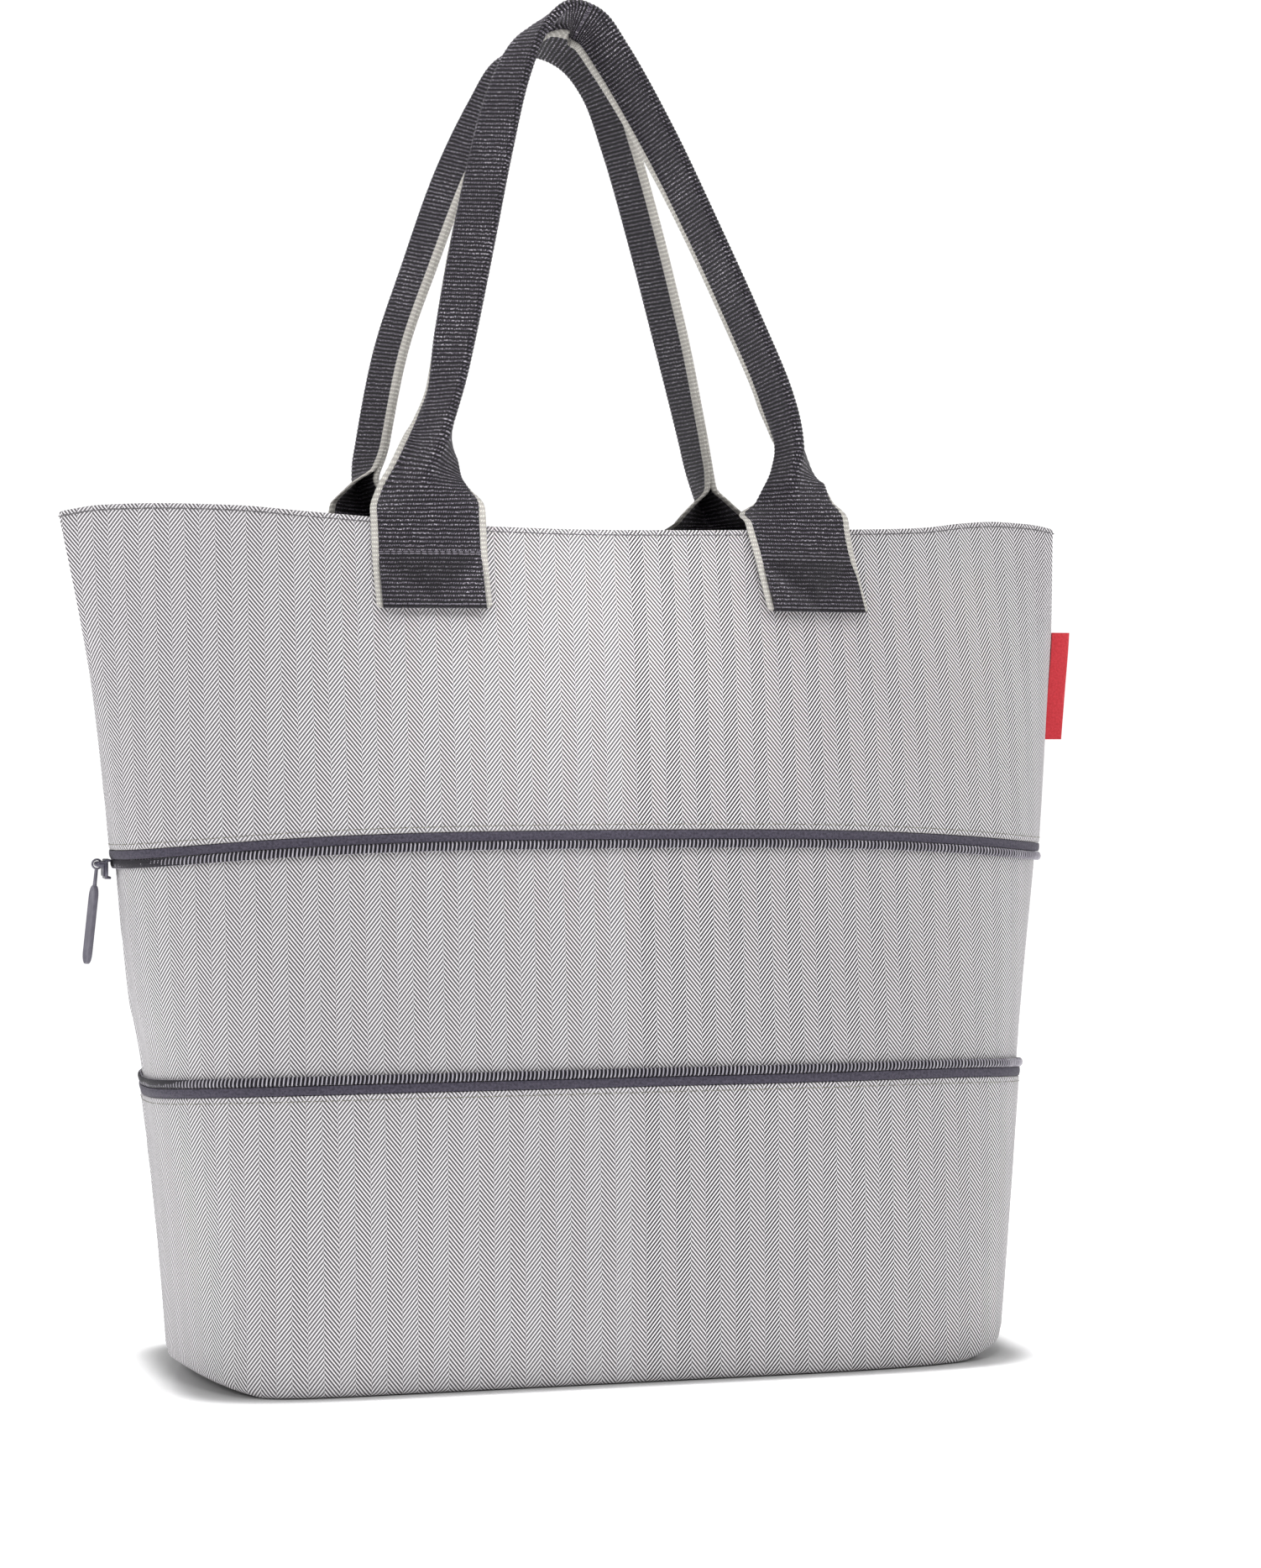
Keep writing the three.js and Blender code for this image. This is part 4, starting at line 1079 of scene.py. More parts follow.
@dataclass
class ZipHalf:
    """Half of the opened zip: its tape, the core of its coil, the coil's turns and the stitches beside it."""

    form: BagForm
    palette: Palette
    chain: Chain
    stitches: StitchTree
    turns: CoilTree
    tooth_pitch: float = 1.85 * MM
    tooth_reach: float = 1.2 * MM
    tooth_wire: float = 0.36 * MM
    tooth_inset: float = 0.25 * MM
    sink: float = 0.95 * MM
    sinks_between: tuple[float, float] = (0.76, 0.98)
    tape_proud: float = 0.25 * MM
    core_proud: float = 0.35 * MM
    seam_offset: float = 2.5 * MM

    def levels(self) -> tuple[HeightRule, HeightRule, HeightRule]:
        """Gives the rules for the middle of the tape, the middle of the coil and the stitch line."""
        form = self.form
        sign = -1.0 if self.chain is Chain.UPPER else 1.0
        edge = form.upper_edge if self.chain is Chain.UPPER else form.lower_edge
        tape = form.gap + form.tape_height / 2
        coil = form.gap * 2 + form.tape_height + form.coil_height / 2
        return (
            lambda share: edge(share) + sign * tape,
            lambda share: edge(share) + sign * coil,
            lambda share: edge(share) - sign * self.seam_offset,
        )

    def band(self, rule: HeightRule, profile: Sequence[tuple[float, float]]) -> Sketch:
        """Sweeps a closed profile round the bag.

        Args:
            rule: The height of the profile's middle.
            profile: Pairs of inset and rise.

        Returns:
            The sketch.
        """
        form = self.form
        middle = rule(form.shares)
        rows = [form.ring(middle + rise, inset) for inset, rise in (*profile, profile[0])]
        girth = lengths_along(np.array([*profile, profile[0]]))
        sketch = Sketch()
        sketch.grid(np.stack(rows), joined(lengths_along(rows[0])[None, :], girth[:, None]))
        return sketch

    def rounded(self, outer: float, inner: float, height: float, crown: float) -> list[tuple[float, float]]:
        """Gives a closed profile with a crowned outer face."""
        half = height / 2
        face = [(outer + crown * (2 * t - 1) ** 2, half * (2 * t - 1)) for t in np.linspace(0.04, 0.96, 7)]
        return [(inner, -half), *face, (inner, half)]

    def build(self) -> list[bpy.types.Object]:
        """Builds the half zip's pieces and dresses them."""
        form, chain = self.form, self.chain.value
        tape_rule, coil_rule, seam_rule = self.levels()
        shell = self.rounded(-self.tape_proud, form.wall, form.tape_height + 0.5 * MM, 0.35 * MM)
        tape = self.band(tape_rule, shell).piece(f"{chain}_zip_tape_cloth", (self.palette.tape,))
        shell = self.rounded(-self.core_proud, form.wall, form.coil_height - 0.5 * MM, 0.6 * MM)
        core = self.band(coil_rule, shell).piece(f"{chain}_zip_coil_core", (self.palette.coil_core,))
        left = form.outlines[0][:, 0] < 0.0
        sunk = np.where(left, smooth_step(form.shares, *self.sinks_between), 0.0)
        track = form.ring(coil_rule(form.shares), self.tooth_inset + self.sink * sunk)[:-1]
        coil = self.turns.apply(
            thread_path(f"{chain}_zip_coil_turns", [track], closed=True), Pitch=self.tooth_pitch,
            Height=form.coil_height, Reach=self.tooth_reach, Wire=self.tooth_wire, Slant=0.13, Seed=4,
            Material=self.palette.coil,
        )
        seam = form.ring(seam_rule(form.shares), -0.02 * MM)[:-1]
        sewing = self.stitches.apply(
            thread_path(f"{chain}_zip_stitches", [seam], closed=True), Pitch=2.5 * MM, Length=2.2 * MM,
            Width=0.5 * MM, Seed=7, Material=self.palette.seam_thread,
        )
        pieces = [tape, core, coil, sewing]
        for piece, slot in zip(pieces, ("tape", "coil", "coil", "tape")):
            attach(piece, "bag")
        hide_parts(f"{chain}_zip_tape")
        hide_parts(f"{chain}_zip_coil")
        return pieces


def plate(outline: np.ndarray, thickness: float, bevel: float, dish: float = 0.0) -> np.ndarray:
    """Lofts a flat outline into a plate with rounded edges.

    Args:
        outline: Closed points in the plate's plane, the last on the first.
        thickness: The plate's thickness.
        bevel: The radius of its edges.
        dish: How deep both broad faces are dished.

    Returns:
        Rows by columns by 3, with the third number across the plate.
    """
    centre = outline[:-1].mean(0)
    reach = np.abs(outline - centre).max(0)
    half = thickness / 2
    rows = []
    arc = np.linspace(0.0, math.pi / 2, 4)
    inner = [(1.0, 0.0, half - dish), (0.55, 0.0, half - dish), (0.0, bevel * 2.6, half - dish)]
    rim = [(0.0, bevel * 1.7, half)] + [
        (0.0, bevel * (1.0 - math.sin(a)), half - bevel * (1.0 - math.cos(a))) for a in arc
    ]
    stages = inner + rim
    stages += [(drawn, inset, -level) for drawn, inset, level in reversed(stages)]
    for drawn, inset, level in stages:
        flat = centre + (outline - centre) * (1.0 - inset / reach) * (1.0 - drawn)
        rows.append(np.concatenate([flat, np.full((len(flat), 1), level)], axis=1))
    return np.stack(rows)


def tube(
    path: np.ndarray, radii: np.ndarray, sides: int = 12, side_axis: Point = (0, 0, 1),
) -> np.ndarray:
    """Sweeps a circle along a path and closes both ends.

    Args:
        path: The path's points.
        radii: Pairs of radii, along the side axis and across it.
        sides: The number of sides.
        side_axis: A direction that the circle's first axis keeps to.

    Returns:
        Rows by columns by 3.
    """
    tangents = unit(np.gradient(path, axis=0))
    first = np.broadcast_to(np.array(side_axis, float), path.shape)
    first = unit(first - tangents * (first * tangents).sum(-1, keepdims=True))
    second = np.cross(tangents, first)
    angle = np.linspace(0.0, 2.0 * math.pi, sides + 1)
    rings = (
        path[:, None] + first[:, None] * (np.cos(angle)[None, :, None] * radii[:, :1, None])
        + second[:, None] * (np.sin(angle)[None, :, None] * radii[:, 1:, None])
    )
    start, end = (np.broadcast_to(path[row], (1, *rings[0].shape)) for row in (0, -1))
    return np.concatenate([start, rings, end])


@dataclass
class SliderAndPull:
    """The zip's slider with its bridge, and the pull that hangs on it."""

    palette: Palette
    length: float = 13 * MM
    height: float = 9 * MM
    thickness: float = 1.4 * MM
    crown_height: float = 6.6 * MM
    bridge_length: float = 10 * MM
    bridge_bend: float = 1.5 * MM
    rod_radius: float = 1.3 * MM
    eye_inner: float = 1.62 * MM
    eye_outer: float = 2.55 * MM
    eye_thickness: float = 1.8 * MM
    pull_length: float = 35.4 * MM
    pull_width: float = 8 * MM
    pull_thickness: float = 2.05 * MM
    tab_bevel: float = 0.32 * MM
    tab_dish: float = 0.1 * MM
    neck: float = 7 * MM
    lean: float = 6.0
    twist: float = 12.0
    drop: float = 2.2 * MM

    def rounded_box(self, width: float, height: float, radius: float, steps: int = 6) -> np.ndarray:
        """Gives a closed outline of a rectangle with round corners, the last point on the first."""
        points = []
        for number, (sx, sy) in enumerate(((1, 1), (-1, 1), (-1, -1), (1, -1))):
            for angle in np.linspace(0.0, math.pi / 2, steps) + number * math.pi / 2:
                points.append((
                    sx * (width / 2 - radius) + radius * math.cos(angle),
                    sy * (height / 2 - radius) + radius * math.sin(angle),
                ))
        return np.array([*points, points[0]])

    def build_slider(self, hinge: np.ndarray) -> bpy.types.Object:
        """Builds the slider: two lipped plates joined over the coil, and an arched bridge."""
        sketch = Sketch()
        plate_outer = hinge[0] + self.eye_outer + 0.4 * MM
        middle = np.array([plate_outer + self.thickness / 2, 0.0, hinge[2]])
        middle[2] -= self.drop
        body = plate(self.rounded_box(self.length, self.height, 2.6 * MM), self.thickness, 0.45 * MM)
        sketch.grid(body[..., [2, 0, 1]] + middle)
        crown = self.rounded_box(self.length - 3.4 * MM, self.crown_height, 1.5 * MM)
        crown = plate(crown, 0.9 * MM, 0.3 * MM)[..., [2, 0, 1]]
        sketch.grid(crown + middle - np.array([self.thickness / 2 + 0.25 * MM, 0.0, 0.0]))
        for sign in (-1.0, 1.0):
            lip = plate(self.rounded_box(self.length - 1.5 * MM, 1.9 * MM, 0.5 * MM), 1.1 * MM, 0.25 * MM)
            shift = np.array([1.1 * MM, 0.0, sign * (self.height / 2 - 0.65 * MM)])
            sketch.grid(lip[..., [1, 0, 2]] + middle + shift)
        half = self.bridge_length / 2 - self.rod_radius
        foot = plate_outer + self.thickness / 2
        bend = np.linspace(0.0, math.pi / 2, 7)
        radius = self.bridge_bend
        turn = joined(hinge[0] + radius * (1 - np.sin(bend)), -half + radius * (1 - np.cos(bend)), 0.0)
        path = np.array([(foot, -half, 0.0), *turn])
        path = np.concatenate([path, path[::-1] * (1.0, -1.0, 1.0)]) + (0.0, 0.0, hinge[2])
        sketch.grid(tube(path, np.full((len(path), 2), self.rod_radius * 0.94), 14))
        piece = sketch.piece("slider_body", (self.palette.slider,), 40.0)
        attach(piece, "bag")
        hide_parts("zip_slider")
        return piece

    def build_pull(self, hinge: np.ndarray) -> bpy.types.Object:
        """Builds the pull: an eye on the bridge, a neck, and a flat tab with round ends."""
        sketch = Sketch()
        angle = np.linspace(0.0, 2.0 * math.pi, 33)
        around = np.linspace(0.0, 2.0 * math.pi, 13)
        middle = (self.eye_inner + self.eye_outer) / 2
        wire = (self.eye_outer - self.eye_inner) / 2
        ring = middle + wire * np.cos(around)[None, :]
        sketch.grid(joined(
            ring * np.cos(angle)[:, None], self.eye_thickness / 2 * np.sin(around)[None, :],
            ring * np.sin(angle)[:, None],
        ))
        top = -self.eye_outer - self.neck
        neck = np.array([(0.0, 0.0, z) for z in np.linspace(-self.eye_outer + 0.5 * MM, top - 2.5 * MM, 8)])
        spread = np.linspace(0.0, 1.0, 8)[:, None] ** 2
        sketch.grid(tube(neck, np.concatenate([
            0.8 * MM + 0.2 * MM * spread, 0.95 * MM + 0.9 * MM * spread], axis=1), 12, (1, 0, 0)))
        radius = self.pull_width / 2
        cap = np.linspace(0.0, math.pi, 15)
        upper = [(radius * math.cos(a), top - radius * 1.3 + radius * 1.3 * math.sin(a)) for a in cap]
        foot = top - self.pull_length
        lower = [(-radius * math.cos(a), foot + radius * 1.3 * (1 - math.sin(a))) for a in cap]
        tab = plate(np.array([*upper, *lower, upper[0]]), self.pull_thickness, self.tab_bevel, self.tab_dish)
        twist = math.radians(self.twist)
        sketch.grid(joined(
            tab[..., 2] * math.cos(twist) - tab[..., 0] * math.sin(twist),
            tab[..., 2] * math.sin(twist) + tab[..., 0] * math.cos(twist), tab[..., 1],
        ))
        turn = math.radians(self.lean)
        for number, points in enumerate(sketch.points):
            x, y, z = points.T
            turned = joined(
                x * math.cos(turn) + z * math.sin(turn), y, z * math.cos(turn) - x * math.sin(turn))
            sketch.points[number] = turned + hinge
        piece = sketch.piece("pull_tab", (self.palette.pull,), 40.0)
        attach(piece, "zip_pull")
        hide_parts("zip_pull")
        return piece


HANDLE_COLUMNS = ("rise", "across", "lean", "facing", "tilt", "fold", "inner", "outer")
FRONT_ROUTE = Table(HANDLE_COLUMNS, (
    (-1.0, -0.965, 1.0, -8, 0, 0, 0, 0), (-0.45, -0.98, 1.0, -8, 0, 0, 0, 0),
    (0.0, -0.985, 1.02, -10, 0, 0, 0, 0), (0.05, -1.0, 1.05, -16, 0, 27, 60, -20),
    (0.085, -0.985, 1.06, -15, 0, 47, 70, -30), (0.135, -0.92, 1.04, -4, 0, 60, 70, -30),
    (0.19, -0.86, 0.98, 12, 0, 74, 20, 10), (0.26, -0.79, 0.9, 31, 2, 86, -40, 40),
    (0.35, -0.722, 0.82, 48, 5, 88, -60, 70), (0.52, -0.61, 0.68, 56, 10, 88, -60, 70),
    (0.7, -0.5, 0.56, 52, 15, 88, -60, 70), (0.86, -0.392, 0.5, 41, 20, 88, -60, 60),
    (0.95, -0.29, 0.48, 30, 26, 88, -60, 60), (1.0, -0.155, 0.48, 18, 30, 86, -60, 60),
    (0.985, 0.005, 0.49, 18, 30, 86, -60, 60), (0.92, 0.14, 0.52, 18, 24, 88, -40, 40),
    (0.76, 0.38, 0.62, 17, 15, 88, -15, 15), (0.58, 0.61, 0.74, 16, 8, 88, 0, 0),
    (0.4, 0.83, 0.88, 17, 4, 88, 0, 0), (0.26, 0.99, 0.985, 18, 0, 88, 0, 0),
    (0.19, 1.04, 1.02, 10, 0, 84, 20, 20), (0.14, 1.045, 1.04, -6, 0, 71, 60, 50),
    (0.087, 1.01, 1.06, -20, 0, 54, 75, 55), (0.04, 1.015, 1.05, -14, 0, 36, 60, 40),
    (0.0, 1.035, 1.02, 4, 0, 0, 0, 0), (-0.45, 1.08, 1.0, 9, 0, 0, 0, 0), (-1.0, 1.135, 1.0, 9, 0, 0, 0, 0),
))
BACK_ROUTE = Table(HANDLE_COLUMNS, (
    (-1.0, -0.98, 1.0, -8, 0, 0, 0, 0), (-0.45, -0.98, 1.0, -8, 0, 0, 0, 0),
    (0.0, -1.02, 1.02, -8, 0, 0, 0, 0), (0.02, -1.11, 1.05, 6, 0, 44, 0, 0),
    (0.05, -1.13, 1.09, 12, 0, 62, 0, 0), (0.08, -1.155, 1.12, 2, 0, 78, 0, 0),
    (0.115, -1.165, 1.13, -16, 0, 89, 0, 0), (0.17, -1.145, 1.12, -22, 0, 89.5, 0, 0),
    (0.35, -1.05, 1.05, -23, 0, 89.5, 0, 0), (0.52, -0.9, 0.95, -25, 0, 89.5, 0, 0),
    (0.7, -0.73, 0.83, -29, 0, 89.5, 0, 0), (0.84, -0.55, 0.74, -35, 0, 89.5, 0, 0),
    (0.92, -0.41, 0.69, -33, -6, 89.5, 0, 0), (0.945, -0.23, 0.67, -31, -10, 89.5, 0, 0),
    (0.925, -0.05, 0.67, -30, -8, 89.5, 0, 0), (0.87, 0.09, 0.69, -24, 0, 89.5, 0, 0),
    (0.76, 0.22, 0.75, -21.5, 0, 89.5, 0, 0), (0.6, 0.37, 0.85, -21, 0, 89.5, 0, 0),
    (0.4, 0.54, 0.98, -19, 0, 89.5, 0, 0), (0.2, 0.7, 1.08, -11, 0, 89.5, 0, 0),
    (0.13, 0.75, 1.1, -8, 0, 89.5, 0, 0), (0.085, 0.79, 1.1, -2, 0, 88, 0, 0),
    (0.055, 0.82, 1.09, 5, 0, 74, 0, 0), (0.02, 0.85, 1.05, 8, 0, 46, 0, 0),
    (0.0, 0.9, 1.02, 8, 0, 0, 0, 0), (-0.45, 0.94, 1.0, 8, 0, 0, 0, 0), (-1.0, 0.97, 1.0, 8, 0, 0, 0, 0),
))


@dataclass
class Handle:
    """A webbing handle: sewn flat on its panel, then folded lengthwise, with light edging on both edges."""

    form: BagForm
    palette: Palette
    panel: Panel
    route: Table
    stitches: StitchTree
    spacing: float = 172 * MM
    rise: float = 238 * MM
    drop: float = 41 * MM
    width: float = 51.8 * MM
    thickness: float = 1.6 * MM
    cord: float = 2.6 * MM
    fold_room: float = 3.4 * MM
    patch_gap: float = 0.9 * MM
    hem_width: float = 4 * MM
    level_rise: float = 0.15
    rib: float = 1.9 * MM
    rib_height: float = 0.16 * MM
    edging_width: float = 1.75 * MM
    edging_depth: float = 1.3 * MM
    pucker_rise: float = 2.3 * MM
    valley_top: float = 17 * MM
    valley_fall: float = 20 * MM
    valley_width: float = 5.5 * MM
    stitch_rise: float = 0.12 * MM

    @property
    def name(self) -> str:
        """Gives the handle's name."""
        return f"{self.panel.name.lower()}_handle"

    def path(self, count: int = 6000) -> tuple[np.ndarray, np.ndarray]:
        """Gives the middle of the strap.

        Args:
            count: How many samples are taken.

        Returns:
            The row number and the point at each sample, on a centripetal Catmull-Rom curve.
        """
        rise, across, lean = (self.route.column(name) for name in ("rise", "across", "lean"))
        level = self.form.height + rise * np.where(rise < 0, self.drop, self.rise)
        x = across * self.spacing / 2
        depth = self.form.panel_depth(x, np.minimum(level, self.form.height))
        y = self.panel.value * (depth + self.thickness / 2 + self.patch_gap) * lean
        knots = joined(x, y, level)
        knots = np.concatenate([[2 * knots[0] - knots[1]], knots, [2 * knots[-1] - knots[-2]]])
        place = np.linspace(0.0, len(rise) - 1.0, count)
        row = np.minimum(place.astype(int), len(rise) - 2)
        t = (place - row)[:, None]
        p0, p1, p2, p3 = (knots[row + k] for k in range(4))
        pairs = ((p0, p1), (p1, p2), (p2, p3))
        d0, d1, d2 = (np.sqrt(np.linalg.norm(b - a, axis=1))[:, None] for a, b in pairs)
        m1 = ((p1 - p0) / d0 - (p2 - p0) / (d0 + d1) + (p2 - p1) / d1) * d1
        m2 = ((p2 - p1) / d1 - (p3 - p1) / (d1 + d2) + (p3 - p2) / d2) * d1
        blend = t * t * (3.0 - 2.0 * t)
        points = p1 * (1 - blend) + p2 * blend + (t**3 - 2 * t**2 + t) * m1 + (t**3 - t**2) * m2
        return place, points

    def stations(self) -> dict[str, np.ndarray]:
        """Gives the strap's stations, half a rib apart: their places, directions, folds and lengths."""
        place, points = self.path()
        lengths = lengths_along(points)
        count = int(lengths[-1] / (self.rib / 2))
        wanted = np.linspace(0.0, lengths[-1], count + 1)
        middle = np.stack([np.interp(wanted, lengths, points[:, axis]) for axis in range(3)], -1)
        place = np.interp(wanted, lengths, place)
        read = {name: self.route.read_rows(name, place) for name in HANDLE_COLUMNS}
        facing, tilt = np.radians(read["facing"]), np.radians(read["tilt"])
        tangent = unit(np.gradient(middle, axis=0))
        side = self.panel.value
        outward = joined(
            np.sin(facing) * np.cos(tilt), side * np.cos(facing) * np.cos(tilt), np.sin(tilt),
        )
        square = np.clip(1.0 - read["rise"] / self.level_rise, 0.0, 1.0)[:, None]
        upright = np.zeros_like(tangent)
        upright[:, 2] = np.sign(tangent[:, 2])
        along = unit(tangent * (1.0 - square) + upright * square)
        outward = unit(outward - along * (outward * along).sum(-1, keepdims=True))
        return {
            "middle": middle, "outward": outward, "across": np.cross(outward, along), "length": wanted,
            "fold": np.radians(read["fold"] * (1.0 + 0.026 * (read["fold"] / 88.0) ** 4)),
            Half.INNER.name: np.radians(read["inner"]), Half.OUTER.name: np.radians(read["outer"]),
            "rise": read["rise"], "from_end": np.minimum(wanted, wanted[-1] - wanted),
            "rib": np.where(np.arange(len(wanted)) % 2 == 0, 1.0, -1.0),
        }

    def half_section(
        self, at: dict[str, np.ndarray], half: Half,
    ) -> tuple[np.ndarray, np.ndarray, np.ndarray]:
        """Gives half of the strap's middle surface at every station.

        Args:
            at: The stations.
            half: Which half.

        Returns:
            The distances from the fold, the angles there, and the 2-D points across and outwards.
        """
        sign = self.panel.value * half.value
        flat = self.width / 2 - self.cord - self.form.gap
        bend = self.fold_room / 2 / math.cos(math.radians(40)) * 1.1
        tuck = at[half.name]
        end = flat + (self.cord + self.form.gap) * 0.6 * np.sin(tuck)
        reach = np.concatenate([
            np.linspace(0.0, 1.0, 7), np.linspace(1.0, 2.0, 6)[1:], np.linspace(2.0, 3.0, 7)[1:],
        ])[None, :]
        start = end - self.hem_width - 1.5 * MM
        distance = np.where(reach <= 1.0, reach * bend, np.where(
            reach <= 2.0, bend + (reach - 1.0) * (start - bend)[:, None],
            start[:, None] + (reach - 2.0) * (end - start)[:, None]))
        folded = smooth_step(distance, 0.0, bend)
        turned = smooth_step(distance - start[:, None], 0.0, 3.0 * MM)
        angle = at["fold"][:, None] * folded + tuck[:, None] * turned
        between = (angle[:, 1:] + angle[:, :-1]) / 2
        step = np.diff(distance, axis=1)
        moves = joined(sign * np.cos(between) * step, -np.sin(between) * step)
        points = np.concatenate([np.zeros((len(moves), 1, 2)), np.cumsum(moves, axis=1)], axis=1)
        return distance, angle, points

    def placed(self, at: dict[str, np.ndarray], flat: np.ndarray) -> np.ndarray:
        """Puts 2-D points of the cross-sections into space."""
        middle, across, outward = (at[key][:, None] for key in ("middle", "across", "outward"))
        return middle + across * flat[..., :1] + outward * flat[..., 1:]

    def strap(self, at: dict[str, np.ndarray]) -> bpy.types.Object:
        """Builds the webbing with its ribs as relief on both faces."""
        layers = []
        for half in (Half.INNER, Half.OUTER):
            sign = self.panel.value * half.value
            distance, angle, points = self.half_section(at, half)
            layers.append((sign * distance, points, joined(sign * np.sin(angle), np.cos(angle))))
        if layers[0][0][0, -1] > 0:
            layers.reverse()
        across, points, normal = (
            np.concatenate([one[:, ::-1], other[:, 1:]], axis=1) for one, other in zip(*layers)
        )
        ribs = self.rib_height * at["rib"][:, None, None]
        pucker = self.pucker(across, at)[..., None]
        top = self.placed(at, points + normal * (self.thickness / 2 + ribs + pucker))
        low = self.placed(at, points - normal * (self.thickness / 2 + ribs))
        weave = joined(across, at["from_end"][:, None])
        sketch = Sketch()
        sketch.grid(top, weave)
        sketch.grid(low, weave)
        for column in (0, -1):
            sketch.grid(np.stack([top[:, column], low[:, column]], 1), weave[:, [column, column]])
        for row in (0, -1):
            sketch.grid(np.stack([top[row], low[row]]), weave[[row, row]])
        return sketch.piece(f"{self.name}_webbing", (self.palette.webbing,), 60.0)

    def pucker(self, across: np.ndarray, at: dict[str, np.ndarray]) -> np.ndarray:
        """Gives the rise of the sewn patches on both sides of their V-shaped valley."""
        level = -at["rise"][:, None] * self.drop
        inside = smooth_step(level, 13 * MM, self.valley_top)
        valley = self.valley_top + (1.0 - np.abs(across) / (23 * MM)) * self.valley_fall
        return inside * self.pucker_rise * (1.0 - np.exp(-(((level - valley) / self.valley_width) ** 2)))

    def edging(self, at: dict[str, np.ndarray], half: Half) -> bpy.types.Object:
        """Builds the light edging along one edge, ribbed as the webbing is, with rounded ends."""
        sign = self.panel.value * half.value
        _, angle, points = self.half_section(at, half)
        last = angle[:, -1]
        way = joined(sign * np.cos(last), -np.sin(last))
        normal = joined(sign * np.sin(last), np.cos(last))
        cap = np.sqrt(np.clip(1.0 - (1.0 - np.clip(at["from_end"] / (2 * MM), 0.0, 1.0)) ** 2, 0.0, 1.0))
        size = (np.maximum(cap, 0.02) * (1.0 + 0.05 * at["rib"]))[:, None, None]
        depth = self.edging_depth + 0.2 * MM * smooth_step(np.degrees(at["fold"]), 76.0, 88.0)
        turn = np.linspace(0.0, 2.0 * math.pi, 13)
        centre = points[:, -1] + way * (self.edging_width * 0.6)
        flat = centre[:, None] + size * (
            way[:, None] * (np.cos(turn)[None, :, None] * self.edging_width)
            + normal[:, None] * (np.sin(turn)[None, :, None] * depth[:, None, None])
        )
        rings = self.placed(at, flat)
        start, end = (np.broadcast_to(rings[row].mean(0), (1, *rings[row].shape)) for row in (0, -1))
        weave = joined((turn * self.edging_width)[None, :], at["length"][:, None])
        sketch = Sketch()
        sketch.grid(np.concatenate([start, rings, end]), np.concatenate([weave[:1], weave, weave[-1:]]))
        return sketch.piece(f"{self.name}_{half.name.lower()}_edging", (self.palette.edging,), 80.0)

    def seams(self, at: dict[str, np.ndarray]) -> bpy.types.Object:
        """Builds the stitch lines that hold both patches: one across below the rim and one at the foot."""
        runs = []
        half = self.width / 2 - self.cord - 1.6 * MM
        first = np.arange(len(at["rise"])) < len(at["rise"]) / 2
        for leg in (first, ~first):
            for depth in (15 * MM, 16.6 * MM, self.drop - 2 * MM):
                row = int(np.argmin(np.where(leg, np.abs(at["rise"] * self.drop + depth), 1.0)))
                x = np.linspace(-half, half, 24)
                here = {key: values[row:row + 1] for key, values in at.items()}
                lift = self.thickness / 2 + self.stitch_rise + self.pucker(x[None, :], here)
                runs.append(self.placed(here, joined(x[None, :], lift))[0])
        return self.stitches.apply(
            thread_path(f"{self.name}_stitches", runs), Pitch=2.7 * MM, Length=2.3 * MM, Width=0.55 * MM,
            Seed=11, Material=self.palette.strap_thread,
        )

    def build(self) -> list[bpy.types.Object]:
        """Builds the handle's pieces and dresses them."""
        at = self.stations()
        strap = self.strap(at)
        edges = [self.edging(at, half) for half in (Half.INNER, Half.OUTER)]
        seams = self.seams(at)
        pieces = [strap, *edges, seams]
        for piece, slot in zip(pieces, ("webbing", "edging", "edging", "webbing")):
            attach(piece, "bag")
        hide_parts(self.name)
        for edge, which in zip(edges, ("inner", "outer")):
            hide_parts(f"{self.name}_{which}_cord")
        return pieces


@dataclass
class SideLabel:
    """A bare woven ribbon, folded over and caught in the right side seam."""

    form: BagForm
    palette: Palette
    height: float = 51.5 * MM
    reach: float = 9 * MM
    top: float = 337 * MM
    layer: float = 0.42 * MM
    fold_radius: float = 0.5 * MM
    sway: float = 0.5 * MM

    def build(self) -> bpy.types.Object:
        """Builds the ribbon as one bent sheet with a thickness, and dresses it."""
        levels = np.linspace(self.top - self.height, self.top, 41)
        seam = self.form.reach(1.0, levels) + self.form.gap
        turn = np.linspace(-math.pi / 2, math.pi / 2, 9)
        run = np.linspace(0.0, self.reach - self.fold_radius, 10)
        rows = []
        for side in (1.0, -1.0):
            radius = self.fold_radius + side * self.layer / 2
            low = [(x, -radius - 0.12 * MM * math.sin(x / self.reach * math.pi)) for x in run]
            bend = [(run[-1] + radius * math.cos(a), radius * math.sin(a)) for a in turn[1:-1]]
            high = [(x, -y) for x, y in reversed(low)]
            rows.append(np.array(low + bend + high))
        outer, inner = rows
        path = np.concatenate([outer, inner[::-1], outer[:1]])
        sway = self.sway * np.sin((levels - levels[0]) / self.height * 2.6)
        x, y = path.T[:, None]
        grid = joined(seam[:, None] + x, y + sway[:, None] * (x / self.reach), levels[:, None])
        sketch = Sketch()
        sketch.grid(grid, joined(lengths_along(path)[None, :], levels[:, None]))
        half = len(outer)
        for row in (0, -1):
            sketch.grid(np.stack([grid[row, :half], grid[row, half:2 * half][::-1]]))
        piece = sketch.piece("side_label_ribbon", (self.palette.label,), 50.0)
        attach(piece, "bag")
        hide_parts("side_label")
        return piece


